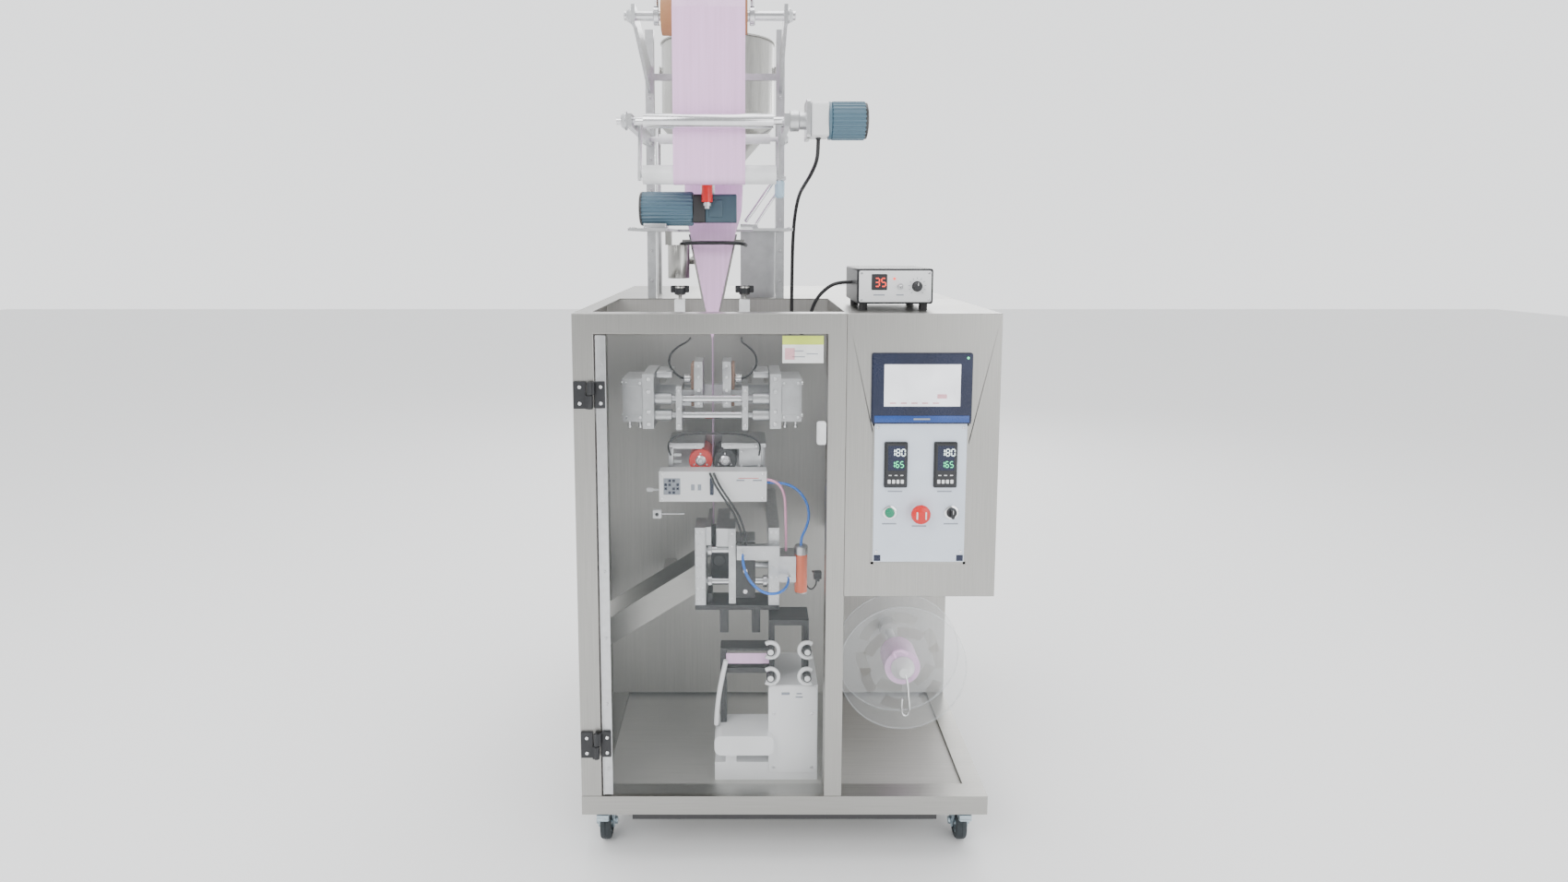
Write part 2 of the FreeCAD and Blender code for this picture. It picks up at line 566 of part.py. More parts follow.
def rear_door():
    """Louvred service door over the rear opening, with knuckles and a round latch."""
    sheet_y = ("back + 1", "back + 1 + rear_t")
    panel = box(("-rear_w / 2", "rear_w / 2"), sheet_y, ("rear_low", "rear_high"))
    slots = []
    for index in range(int(value("louvres"))):
        low = f"louvre_low + {index} * louvre_step"
        slots.append(box(("-louvre_w / 2", "louvre_w / 2"), ("back", "back + 3 + rear_t"),
                         (low, f"{low} + louvre_h")))
    latch = rod("y", ("rear_w / 2 - latch_in", "(rear_low + rear_high) / 2"),
                ("back + 1", "back + rear_knob_out"), "rear_knob_r")
    knuckles = []
    for level in ("rear_low + rear_hinge_in", "rear_high - rear_hinge_in"):
        knuckles.append(rod("z", ("rear_pin_x", "rear_pin_y"), (level, f"{level} + leaf_h"), "rear_pin_r"))
        knuckles.append(box(("rear_pin_x", "-rear_w / 2 + 12"),
                            ("back + 1 + rear_t", "rear_pin_y + 2"), (level, f"{level} + leaf_h")))
    node("rear_door", join(cut(panel, *slots), latch, *knuckles))


def control_box():
    """Box with its backplate, operator panel, touch screen, temperature controllers and keys."""
    outer = box(("mid_right", "right"), ("front", "bulk_y"), ("box_low", "cab_top"))
    inner = box(("mid_right + sheet_t", "right - sheet_t"), ("front + sheet_t", "bulk_y + 1"),
                ("box_low + sheet_t", "cab_top - sheet_t"))
    key_holes = [rod("y", (f"panel_x + {off}", "key_z"), ("front - 1", "front + sheet_t + 1"), "key_bore_r")
                 for off in ("start_off", "0", "turn_off")]
    node("control_box", cut(outer, inner, *key_holes))
    plate_low = "box_low + plate_in"
    plate_face = "bulk_y - plate_gap - plate_t"
    back_plate = box(("mid_right + spacer_in", "right - spacer_in"), (plate_face, "bulk_y - plate_gap"),
                     (plate_low, f"{plate_low} + plate_h"))
    drives = []
    for index in range(2):
        drive_left = f"mid_right + drive_side + {index} * (drive_w + drive_gap)"
        drives.append(box((drive_left, f"{drive_left} + drive_w"), (f"{plate_face} - drive_t", plate_face),
                          (f"{plate_low} + drive_rise", f"{plate_low} + drive_rise + drive_h")))
    rail = box(("mid_right + drive_side", "right - drive_side"), (f"{plate_face} - drive_t / 2", plate_face),
               (f"{plate_low} + rail_low", f"{plate_low} + rail_high"))
    spacers = [rod("y", (x, z), ("bulk_y - plate_gap", "bulk_y"), "axle_r")
               for x in ("mid_right + 2 * spacer_in", "right - 2 * spacer_in")
               for z in (f"{plate_low} + spacer_in", f"{plate_low} + plate_h - spacer_in")]
    node("electrics_plate", join(back_plate, rail, *drives, *spacers))
    plate = box(("panel_x - panel_w / 2", "panel_x + panel_w / 2"), ("panel_face", "front"),
                ("panel_low", "panel_high"))
    rings = []
    for off in ("start_off", "0", "turn_off"):
        rings.append(rod("y", (f"panel_x + {off}", "key_z"), ("panel_face - key_ring_t", "front"),
                         "key_ring_r"))
    bores = [rod("y", (f"panel_x + {off}", "key_z"), ("panel_face - key_ring_t - 1", "front + 1"),
                 "key_bore_r") for off in ("start_off", "0", "turn_off")]
    node("control_panel", cut(join(plate, *rings), *bores))
    bezel = box(("panel_x - hmi_w / 2", "panel_x + hmi_w / 2"), ("front - hmi_t", "front"),
                ("hmi_low", "hmi_low + hmi_h"))
    window = box(("panel_x - screen_w / 2", "panel_x + screen_w / 2"),
                 ("front - hmi_t - 1", "front - hmi_t + screen_sunk"),
                 ("hmi_low + screen_rise", "hmi_low + screen_rise + screen_h"))
    node("screen_bezel", cut(bezel, window))
    node("touch_screen", box(("panel_x - screen_w / 2", "panel_x + screen_w / 2"),
                             ("front - hmi_t + screen_sunk - screen_t", "front - hmi_t + screen_sunk"),
                             ("hmi_low + screen_rise", "hmi_low + screen_rise + screen_h")))
    meters = []
    for side in (-1, 1):
        middle = f"panel_x + ({side}) * temp_off"
        meters.append(box((f"{middle} - temp_w / 2", f"{middle} + temp_w / 2"),
                          ("panel_face - temp_t", "panel_face"), ("temp_low", "temp_low + temp_h")))
    node("temperature_controllers", together(*meters))


def operator_keys():
    """Start key, emergency stop and selector, each on a stem through the panel."""
    stem = ("front - panel_t - key_out", "front + key_stem")
    node("start_key", rod("y", ("panel_x + start_off", "key_z"), stem, "key_r"))
    cap = ("panel_face - key_ring_t - stop_out", "panel_face - key_ring_t - stop_out + stop_cap_t")
    node("stop_mushroom", join(rod("y", ("panel_x", "key_z"), cap, "stop_r"),
                               rod("y", ("panel_x", "key_z"), (cap[0], "front + key_stem"), "key_r")))
    grip = box(("panel_x + turn_off - turn_grip_t / 2", "panel_x + turn_off + turn_grip_t / 2"),
               ("panel_face - key_ring_t - turn_out", "panel_face - key_ring_t + 1"),
               ("key_z - key_r + 1", "key_z + key_r - 1"))
    knob = rod("y", ("panel_x + turn_off", "key_z"),
               ("panel_face - key_ring_t - turn_out / 2", "front + key_stem"), "key_r")
    node("selector_knob", join(knob, grip))


def desk_unit():
    """Small controller on the control box: shell with feet, front face, dial and toggle."""
    shell = box(("unit_x - unit_w / 2", "unit_x + unit_w / 2"),
                ("unit_front + unit_face_t", "unit_front + unit_d"), ("unit_low", "unit_low + unit_h"))
    feet = [rod("z", (f"unit_x + ({side}) * (unit_w / 2 - foot_in_x)", depth), ("cab_top", "unit_low"),
                "unit_foot_r")
            for side in (-1, 1) for depth in ("unit_front + foot_in_y", "unit_front + unit_d - foot_in_y")]
    face = box(("unit_x - unit_w / 2 + unit_face_t", "unit_x + unit_w / 2 - unit_face_t"),
               ("unit_front", "unit_front + unit_face_t"),
               ("unit_low + unit_face_t", "unit_low + unit_h - unit_face_t"))
    node("desk_unit_shell", join(rounded(shell, "y", "unit_foot_r / 2"), face, *feet))
    node("desk_unit_dial", rod("y", ("unit_x + dial_off", "dial_z"),
                               ("unit_front - dial_t", "unit_front - fit"), "dial_r"))
    lever = join(rod("y", ("unit_x + toggle_off", "dial_z"),
                     ("unit_front - toggle_l", "unit_front - toggle_hub_t"), "toggle_r - 1"),
                 rod("x", ("unit_front - toggle_hub_t", "dial_z"),
                     ("unit_x + toggle_off - toggle_r", "unit_x + toggle_off + toggle_r"), "toggle_r"))
    node("desk_unit_toggle", lever)


def arm_plate(side):
    """Tapered side plate from a tower post forward to the unwind shaft's bearing."""
    x = mirrored_x("tower_half", side)
    rear = "post_y - tower_s / 2"
    outline = [(rear, "arm_foot_low"), ("roll_y + arm_nose", "roll_z - arm_nose"),
               ("roll_y - arm_nose", "roll_z - arm_nose"), ("roll_y - arm_nose", "roll_z + arm_nose"),
               ("roll_y + arm_nose", "roll_z + arm_nose"), (rear, "arm_foot_high")]
    return prism("YZ", outline, (f"{x} - arm_t / 2", f"{x} + arm_t / 2"))


def hopper_stand():
    """Two legs with lugs that carry the hopper's band."""
    pieces = []
    for side in (-1, 1):
        x = mirrored_x("hopper_r + lug_w / 2", side)
        lug_z = ("hopper_low + band_rise", "hopper_low + band_rise + band_h")
        pieces.append(rod("z", (x, "hopper_y"), ("cab_top", lug_z[0]), "journal_r"))
        pieces.append(box(span_x("hopper_r + band_t", "hopper_r + lug_w / 2 + journal_r", side),
                          ("hopper_y - journal_r", "hopper_y + journal_r"), lug_z))
    return pieces


def shelf():
    """Shelf round the posts, with a wing on each side of the film's slot."""
    level = ("shelf_z", "shelf_z + shelf_t")
    post_holes = []
    wings = []
    for side in (-1, 1):
        x = mirrored_x("tower_half", side)
        post_holes.append(box((f"{x} - tower_s / 2", f"{x} + tower_s / 2"),
                              ("post_y - tower_s / 2", "post_y + tower_s / 2"),
                              ("shelf_z - 1", "shelf_z + shelf_t + 1")))
        wings.append(box(span_x("slot_half", "tower_half + shelf_over", side),
                         ("front + shelf_front", "bulk_y"), level))
    rear = box(("post_left - shelf_over", "post_right + shelf_over"), ("bulk_y", "front + shelf_back"),
               level)
    return [cut(rear, *post_holes)] + wings


def tower():
    """Posts, roller bars, roll arms, shelf, back plate, tie and hopper legs, each its own bar or plate."""
    pieces = []
    for side in (-1, 1):
        x = mirrored_x("tower_half", side)
        wide = (f"{x} - tower_s", f"{x} + tower_s")
        pieces.append(box((f"{x} - tower_s / 2", f"{x} + tower_s / 2"),
                          ("post_y - tower_s / 2", "post_y + tower_s / 2"), ("cab_top", "tower_top")))
        bar = box((f"{x} - bar_t / 2", f"{x} + bar_t / 2"), ("front + bar_front", "post_y - tower_s / 2"),
                  ("bar_low", "bar_high"))
        holes = [rod("x", (depth, "bar_z"), wide, f"{radius} + fit")
                 for depth, radius in (("drive_y", "journal_r"), ("front + dancer_pin_depth", "dancer_rod_r"),
                                       ("guide_y", "dancer_rod_r"))]
        pieces.append(cut(bar, *holes))
        pieces.append(cut(arm_plate(side), rod("x", ("roll_y", "roll_z"), wide, "shaft_r + fit")))
    plate = box(("film_x + back_off - back_w / 2", "film_x + back_off + back_w / 2"),
                ("post_y + back_gap", "post_y + back_gap + sheet_t"), ("cab_top", "shelf_z"))
    tie = box(("post_left + tower_s / 2", "post_right - tower_s / 2"),
              ("post_y - tower_s / 4", "post_y + tower_s / 4"),
              ("tower_top - tie_down", "tower_top - tie_down + tie_h"))
    node("tower_frame", together(*pieces, *shelf(), plate, tie, *hopper_stand()))


def unwind():
    """Unwind shaft with cones, collars and clamp knobs, and the roll of film on it."""
    centre = ("roll_y", "roll_z")
    pieces = [rod("x", centre, ("film_x - shaft_half", "film_x + shaft_half"), "shaft_r")]
    for side in (-1, 1):
        pieces.append(rod("x", centre, span_x("web_w / 2 - hub_w", "web_w / 2", side), "core_r - 2"))
    for place in ("left_collar", "right_collar"):
        x = f"film_x + {place}"
        pieces.append(rod("x", centre, (f"{x} - collar_w / 2", f"{x} + collar_w / 2"), "collar_r"))
        pieces.append(rod("z", (x, "roll_y"), ("roll_z", "roll_z + knob_reach"), "stem_r"))
        pieces.append(rod("z", (x, "roll_y"),
                          ("roll_z + knob_reach - knob_r", "roll_z + knob_reach + knob_r / 2"), "knob_r"))
    node("unwind_shaft", join(*pieces))
    roll = rod("x", centre, ("film_x - web_w / 2", "film_x + web_w / 2"), "roll_r")
    bore = rod("x", centre, ("film_x - web_w / 2 - 1", "film_x + web_w / 2 + 1"), "core_r - 2")
    node("film_roll", cut(roll, bore))


def rollers():
    """Drive roller with its motor, dancer arm with its roller, and guide roller."""
    centre = ("drive_y", "bar_z")
    node("drive_roller", join(
        rod("x", centre, ("film_x - drive_half", "film_x + drive_half"), "drive_r"),
        rod("x", centre, ("film_x - journal_half", "film_x + journal_half"), "journal_r")))
    start = "post_right + bar_t / 2"
    housing = rod("x", centre, (start, f"{start} + house_l"), "house_r")
    bore = rod("x", centre, (f"{start} - 1", "film_x + journal_half + 1"), "journal_r + fit")
    flange_end = f"{start} + house_l + flange_t"
    gear_end = f"{flange_end} + gear_l"
    flange = rod("x", centre, (f"{start} + house_l", flange_end), "motor_r")
    gear = rod("x", centre, (flange_end, gear_end), "gear_r")
    gland = box((f"{flange_end} + 10", f"{flange_end} + 22"), ("drive_y - 6", "drive_y + 6"),
                ("bar_z - gear_r - 4", "bar_z - gear_r + 4"))
    can = rod("x", centre, (gear_end, f"{gear_end} + motor_l"), "motor_r")
    node("unwind_motor", cut(join(housing, flange, gear, gland, can), bore))
    pin_y = "front + dancer_pin_depth"
    pieces = [rod("x", ("dancer_y", "dancer_z"), ("film_x - dancer_half - 4", "film_x + dancer_half + 4"),
                  "dancer_rod_r")]
    for side in (-1, 1):
        plate = span_x("dancer_half + 4", "dancer_half + 4 + dancer_arm_t", side)
        half = "dancer_arm_w / 2"
        pieces.append(prism("YZ", [(f"{pin_y} - {half}", "bar_z + 8"), (f"dancer_y - {half}", "dancer_z - 12"),
                                   (f"dancer_y + {half}", "dancer_z - 12"),
                                   (f"{pin_y} + {half}", "bar_z + 8")], plate))
        pieces.append(rod("x", (pin_y, "bar_z"), span_x("dancer_half + 4", "tower_half + bar_t / 2", side),
                          "dancer_rod_r"))
    node("dancer_arm", join(*pieces))
    spot = ("dancer_y", "dancer_z")
    body = rod("x", spot, ("film_x - dancer_half", "film_x + dancer_half"), "dancer_r")
    hole = rod("x", spot, ("film_x - dancer_half - 1", "film_x + dancer_half + 1"), "dancer_rod_r + fit")
    node("dancer_roller", cut(body, hole))
    guide = ("guide_y", "bar_z")
    node("guide_roller", join(
        rod("x", guide, ("film_x - guide_half", "film_x + guide_half"), "guide_r"),
        rod("x", guide, ("post_left - bar_t / 2", "post_right + bar_t / 2"), "dancer_rod_r")))


def tangent_corner(centre, radius, first, last):
    """Where two lines meet that touch a circle on the sides their normals first and last point to."""
    bisector = first + last
    return centre + bisector * (radius / (1 + first.dot(last)))


def film_web():
    """Film from the roll, behind the drive roller, under the dancer and over the guide, then folded."""
    half_sheet = value("web_t") / 2
    lean = value("fit") + half_sheet + 0.6
    middle = value("film_x")
    dancer = FreeCAD.Vector(middle, value("dancer_y"), value("dancer_z"))
    guide = FreeCAD.Vector(middle, value("guide_y"), value("bar_z"))
    dancer_r = value("dancer_r") + lean
    guide_r = value("guide_r") + lean
    apart = guide - dancer
    climb = math.atan2(apart.z, apart.y) + math.asin((dancer_r + guide_r) / apart.Length)
    below = FreeCAD.Vector(0, math.sin(climb), -math.cos(climb))
    ahead = FreeCAD.Vector(0, -1, 0)
    fall_end = FreeCAD.Vector(middle, value("front + former_depth - 2"), value("former_top + 8"))
    down = (fall_end - guide).normalize()
    behind = FreeCAD.Vector(0, -down.z, down.y)
    points = [FreeCAD.Vector(middle, dancer.y - dancer_r, value("roll_z")),
              tangent_corner(dancer, dancer_r, ahead, below),
              tangent_corner(guide, guide_r, below * -1, behind)]
    points.append(points[-1] + down * (fall_end - points[-1]).Length)
    path, _ = rounded_path(points, [dancer_r, guide_r])
    width = value("web_w")
    start = points[0]
    corners = [start + FreeCAD.Vector(x * width / 2, y * half_sheet, 0)
               for x, y in ((-1, -1), (1, -1), (1, 1), (-1, 1))]
    section = Part.makePolygon(corners + corners[:1])
    band = doc.addObject("Part::Feature", "Web")
    band.Shape = path.makePipeShell([section], True, True)
    band.Placement = FreeCAD.Placement()
    folded = box(("film_x - web_t", "film_x + web_t"), ("front + fold_front", "front + fold_back"),
                 ("fold_low", "former_low - 6"))
    node("film_web", together(band, folded))


def former():
    """Triangular forming plate with its dark hoop, side stays, white posts and wing knobs."""
    run = value("former_depth - former_end_depth")
    lean = math.degrees(math.atan2(run, value("former_top - former_low")))
    outline = [("film_x - former_half", "former_top"), ("film_x - former_tip", "former_low"),
               ("film_x + former_tip", "former_low"), ("film_x + former_half", "former_top")]
    plate = prism("XZ", outline, ("front + former_end_depth", "front + former_end_depth + former_t"))
    tilted = turned(plate, FreeCAD.Vector(1, 0, 0), -lean, "0", "front + former_end_depth", "former_low")
    pieces = [tilted]
    wing_y = "front + wing_depth"
    for side in (-1, 1):
        x = mirrored_x("wing_off", side)
        wide = (f"{x} - wing_post_s / 2", f"{x} + wing_post_s / 2")
        spot = (x, f"{wing_y} + wing_post_s / 2")
        pieces.append(join(
            box(wide, (wing_y, f"{wing_y} + wing_post_s"), ("wing_post_low", "wing_z - wing_stem")),
            box(wide, (wing_y, "bulk_y"), ("wing_post_low", "wing_post_low + stay_h")),
            rod("z", spot, ("wing_z - wing_stem - 1", "wing_z"), "stem_r"),
            rod("z", spot, ("wing_z - wing_h / 2", "wing_z + wing_h / 2"), "wing_r")))
    hoop = box(("film_x - hoop_half", "film_x + hoop_half"),
               ("front + former_depth + 14", "front + former_depth + 20"),
               ("hoop_z - hoop_t / 2", "hoop_z + hoop_t / 2"))
    stay = box(("film_x - 6", "film_x + 6"), ("front + former_depth + 3", "front + former_depth + 14"),
               ("hoop_z - hoop_t / 2", "hoop_z + hoop_t / 2"))
    pieces.append(join(hoop, stay))
    node("film_former", together(*pieces))


def hopper():
    """Round hopper with a conical bottom and an outlet pipe."""
    spot = ("film_x", "hopper_y")
    outer = join(rod("z", spot, ("hopper_low", "hopper_high"), "hopper_r"),
                 cone("z", spot, ("cone_low", "hopper_low"), "outlet_r", "hopper_r"),
                 rod("z", spot, ("outlet_low", "cone_low"), "outlet_r"),
                 rod("z", spot, ("hopper_low + band_rise", "hopper_low + band_rise + band_h"),
                     "hopper_r + band_t"))
    inner = join(rod("z", spot, ("hopper_low", "hopper_high + 1"), "hopper_r - hopper_wall"),
                 cone("z", spot, ("cone_low", "hopper_low"), "outlet_bore_r", "hopper_r - hopper_wall"),
                 rod("z", spot, ("outlet_low - 1", "cone_low"), "outlet_bore_r"))
    node("hopper", cut(outer, inner))


def dosing_pump():
    """Pump motor and head on the shelf, the dosing cylinder under it, product pipe and filling nozzle."""
    centre = ("pump_y", "pump_z")
    left_end = "film_x + pump_left"
    motor = rod("x", centre, (left_end, f"{left_end} + pump_motor_l"), "pump_motor_r")
    head_x = (f"{left_end} + pump_motor_l", f"{left_end} + pump_motor_l + pump_head_l")
    head = box(head_x, ("pump_y - pump_head_h / 2", "pump_y + pump_head_h / 2"),
               ("pump_z - pump_head_h / 2", "pump_z + pump_head_h / 2"))
    foot = box((f"{left_end} + 10", "film_x - slot_half - 6"), ("pump_y - 30", "pump_y + 30"),
               ("shelf_z + shelf_t", "pump_z - pump_motor_r + 6"))
    spindle = rod("z", ("film_x - 8", "pump_y"),
                  ("pump_z + pump_head_h / 2", "pump_z + pump_head_h / 2 + spindle_l / 2"), "spindle_r")
    node("pump_drive", join(motor, head, foot, spindle))
    dose_x = "film_x + dose_off"
    cylinder = rod("z", (dose_x, "front + dose_depth"), ("dose_low", "dose_high"), "dose_r")
    hanger = box(("film_x - slot_half - 2 - hanger_w", "film_x - slot_half - 2"),
                 ("front + dose_depth - 12", "front + dose_depth + 12"), ("dose_high", "shelf_z"))
    bend = 2.5 * value("pipe_r")
    dose_back = value("front + dose_depth + dose_r") - 2
    hopper_y = value("hopper_y")
    x_line = value(dose_x)
    level = value("pipe_z")
    points = [FreeCAD.Vector(value("film_x"), hopper_y, value("outlet_low")),
              FreeCAD.Vector(value("film_x"), hopper_y, level),
              FreeCAD.Vector(x_line, hopper_y - value("pipe_side"), level),
              FreeCAD.Vector(x_line, dose_back, level)]
    path, _ = rounded_path(points, [bend, bend])
    ring = Part.Wire(Part.Circle(points[0], FreeCAD.Vector(0, 0, -1), value("pipe_r")).toShape())
    pipe = doc.addObject("Part::Feature", "Pipe")
    pipe.Shape = path.makePipeShell([ring], True, True)
    pipe.Placement = FreeCAD.Placement()
    socket = rod("z", ("film_x", "hopper_y"), ("outlet_low", "outlet_low + 12"), "outlet_bore_r")
    nozzle_y = "front + nozzle_depth"
    nozzle = join(rod("z", ("film_x", nozzle_y), ("nozzle_low", "pipe_z"), "nozzle_r"),
                  rod("x", (nozzle_y, "pipe_z"), (f"{dose_x} + dose_r - 3", "film_x"), "nozzle_r"))
    node("dosing_line", join(cylinder, hanger, pipe, socket, nozzle))


def vertical_sealer():
    """Frame with guide rods and air rams, and the two heated bars that close on the film."""
    spread = ("front + seal_front", "front + seal_back")
    pieces = []
    ram_z = ("seal_z - ram_h / 2 + 8", "seal_z + ram_h / 2 + 8")
    for side in (-1, 1):
        pieces.append(box(span_x("cheek_in", "cheek_out", side), spread,
                          ("seal_z - cheek_h / 2 + 8", "seal_z + cheek_h / 2 + 8")))
        pieces.append(box(span_x("cheek_out", "ram_out", side),
                          ("front + seal_front + ram_inset", "front + seal_back - ram_inset"), ram_z))
    cheeks = ("film_x - cheek_out", "film_x + cheek_out")
    beam_z = ("seal_z - beam_h / 2", "seal_z + beam_h / 2")
    for lift in ("rod_up", "rod_down"):
        pieces.append(rod("x", ("front + rod_depth", f"seal_z + {lift}"), cheeks, "rod_r"))
    pieces.append(box(cheeks, ("front + seal_back", "front + seal_back + beam_t"), beam_z))
    for side in (-1, 1):
        pieces.append(box(span_x("cheek_in - 40", "cheek_in - 10", side),
                          ("front + seal_back + beam_t", "bulk_y"), beam_z))
    bores = [rod("x", ("front + piston_depth", "seal_z + 4"), span_x("cheek_in - 1", "ram_out - 6", side),
                 "piston_r + fit") for side in (-1, 1)]
    node("sealer_frame", cut(join(*pieces), *bores))
    for label, side in (("seal_bar_left", -1), ("seal_bar_right", 1)):
        plate = box(span_x("slide_plate_in", "slide_plate_out", side),
                    ("front + seal_front + 6", "front + slide_plate_back"),
                    ("seal_z - slide_plate_h / 2 - 8", "seal_z + slide_plate_h / 2 - 8"))
        bar = box(span_x("bar_in", "bar_out", side), ("front + seal_bar_front", "front + seal_bar_back"),
                  ("seal_z - bar_drop", "seal_z + bar_rise"))
        bridge = box(span_x("bar_out", "slide_plate_in", side),
                     ("front + seal_bar_front + 8", "front + slide_plate_back - 6"),
                     ("seal_z - 12", "seal_z + 24"))
        piston = rod("x", ("front + piston_depth", "seal_z + 4"),
                     span_x("slide_plate_out - 1", "ram_out - 32", side), "piston_r")
        bores = [rod("x", ("front + rod_depth", f"seal_z + {lift}"),
                     span_x("slide_plate_in - 1", "slide_plate_out + 1", side), "rod_r + fit")
                 for lift in ("rod_up", "rod_down")]
        node(label, cut(join(plate, bar, bridge, piston), *bores))


def pull_unit():
    """Two pull rollers on a back wall, a bracket over them and a white cover in front."""
    wall_face = "front + pull_wall_depth"
    wall = box(("film_x - pull_half + 10", "film_x + pull_half + 10"), (wall_face, f"{wall_face} + pull_wall"),
               ("pull_low", "pull_high"))
    plate_z = ("pull_high - pull_top_t", "pull_high")
    plate_y = ("front + pull_front", wall_face)
    left_top = box(("film_x - pull_half + 10", "film_x - pull_slot"), plate_y, plate_z)
    right_top = box(("film_x + pull_slot", "film_x + pull_half + 10"), plate_y, plate_z)
    posts = []
    for side in (-1, 1):
        x = mirrored_x("pull_post_off", side)
        posts.append(box((f"{x} - pull_post_w / 2", f"{x} + pull_post_w / 2"),
                         (f"{wall_face} + pull_wall", "bulk_y"), ("pull_z - 30", "pull_z + 10")))
    bores = []
    for side in (-1, 1):
        x = mirrored_x("pull_r + pull_gap", side)
        bores.append(rod("y", (x, "pull_z"), (f"{wall_face} - 1", f"{wall_face} + pull_wall + 30"),
                         "pull_axle_r + fit"))
    gearbox = box(("film_x + gearbox_in", "film_x + pull_half + 4"), ("front + pull_front + 2", wall_face),
                  ("pull_z - 18", "pull_high - pull_top_t"))
    node("pull_frame", cut(join(wall, left_top, right_top, gearbox, *posts), *bores))
    for label, side in (("pull_roller_left", -1), ("pull_roller_right", 1)):
        x = mirrored_x("pull_r + pull_gap", side)
        node(label, join(rod("y", (x, "pull_z"), ("front + pull_front", "front + pull_back"), "pull_r"),
                         rod("y", (x, "pull_z"), ("front + pull_back - 2", f"{wall_face} + pull_wall"),
                             "pull_axle_r")))
    cover_left = "film_x - cover_half + 2"
    cover_right = "film_x + cover_half + 2"
    outside = box((cover_left, cover_right), ("front + cover_front", "front + cover_back"),
                  ("cover_low", "cover_high"))
    inside = box((f"{cover_left} + cover_t", f"{cover_right} - cover_t"),
                 ("front + cover_front + cover_t", "front + cover_back + 1"),
                 ("cover_low + cover_t", "cover_high - cover_t"))
    arm_left = "film_x - pull_half + 4"
    arm_right = "film_x + pull_half - 2"
    arms = [box((start, f"{start} + 12"), ("front + cover_back", wall_face),
                ("cover_low + 14", "cover_low + 40")) for start in (arm_left, arm_right)]
    lips = [box(ends, ("front + cover_front + cover_t", "front + cover_back"), ("cover_low", "cover_low + 40"))
            for ends in ((cover_left, f"{arm_left} + 12"), (arm_right, cover_right))]
    node("pull_cover", join(cut(outside, inside), *arms, *lips))


def cross_cutter():
    """Side plates, rods, ledge, legs and anvil, and the sealing and cutting jaw that slides on the rods."""
    depth = ("front + cut_front", "front + cut_back")
    height = ("cut_low", "cut_high")
    mid_y = "front + cut_depth_mid"
    end = "film_x + cut_right + cut_plate"
    left = box(("film_x + cut_left", "film_x + cut_left + cut_plate"), depth, height)
    right = box(("film_x + cut_right", end), depth, height)
    rods = [rod("x", (mid_y, level), ("film_x + cut_left", end), "cut_rod_r")
            for level in ("cut_rod_high", "cut_rod_low")]
    ledge = box(("film_x + cut_left", end), depth, ("cut_low - ledge_t", "cut_low"))
    legs = [box((f"film_x + {off}", f"film_x + {off} + leg_w"), (depth[0], "front + cut_front + leg_d"),
                ("leg_low", "cut_low - ledge_t")) for off in ("leg_left", "leg_right")]
    anvil = box(("film_x - anvil_out", "film_x - anvil_in"), ("front + cut_front + 20", "front + jaw_back"),
                ("jaw_low", "jaw_high"))
    arm = box(("film_x + cut_right", end), ("front + cut_back", "bulk_y"), ("cut_high - 60", "cut_high"))
    hook = box(("film_x + cut_left", "film_x - anvil_in"), ("front + cut_front + 20", "front + cut_back"),
               ("jaw_low", "jaw_high"))
    ram = box((end, f"{end} + ram_block_l"), (f"{mid_y} - ram_block_half", f"{mid_y} + ram_block_half"),
              ("ram_z - ram_block_h / 2", "ram_z + ram_block_h / 2"))
    manifold_z = ("ram_z + manifold_low", "ram_z + manifold_high")
    manifold_back = "front + cut_front - manifold_gap"
    manifold = box(("film_x + manifold_in", end), ("front + cut_front - manifold_out", manifold_back),
                   manifold_z)
    spacer = box(("film_x + cut_right", end), (f"{manifold_back} - 1", "front + cut_front + 1"), manifold_z)
    air_filter = rod("z", (FILTER_X, "front + filter_depth"), ("filter_low", "filter_low + filter_h"),
                     "filter_r")
    bore = rod("x", (mid_y, "ram_z"), ("film_x + cut_right - 1", f"{end} + 20"), "piston_r + fit")
    solid = join(left, right, *rods, ledge, *legs, anvil, hook, arm, ram, manifold, spacer, air_filter)
    node("cutter_frame", cut(solid, bore))
    plate = box(("film_x + jaw_plate_in", "film_x + jaw_plate_out"), depth, ("cut_low + 4", "cut_high - 2"))
    jaw = box(("film_x + jaw_in", "film_x + jaw_plate_in"), ("front + cut_front + 10", "front + jaw_back"),
              ("jaw_low", "jaw_high"))
    block = box(("film_x + jaw_plate_out", "film_x + jaw_plate_out + cut_block_l"),
                ("front + cut_front + 8", "front + cut_back"), ("cut_rod_low - 26", "cut_rod_high + 30"))
    piston = rod("x", (mid_y, "ram_z"), ("film_x + jaw_plate_out", "film_x + cut_right + 10"), "piston_r")
    holes = [rod("x", (mid_y, level), ("film_x", "film_x + cut_right - 1"), "cut_rod_r + fit")
             for level in ("cut_rod_high", "cut_rod_low")]
    node("cutter_jaw", cut(join(plate, jaw, block, piston), *holes))


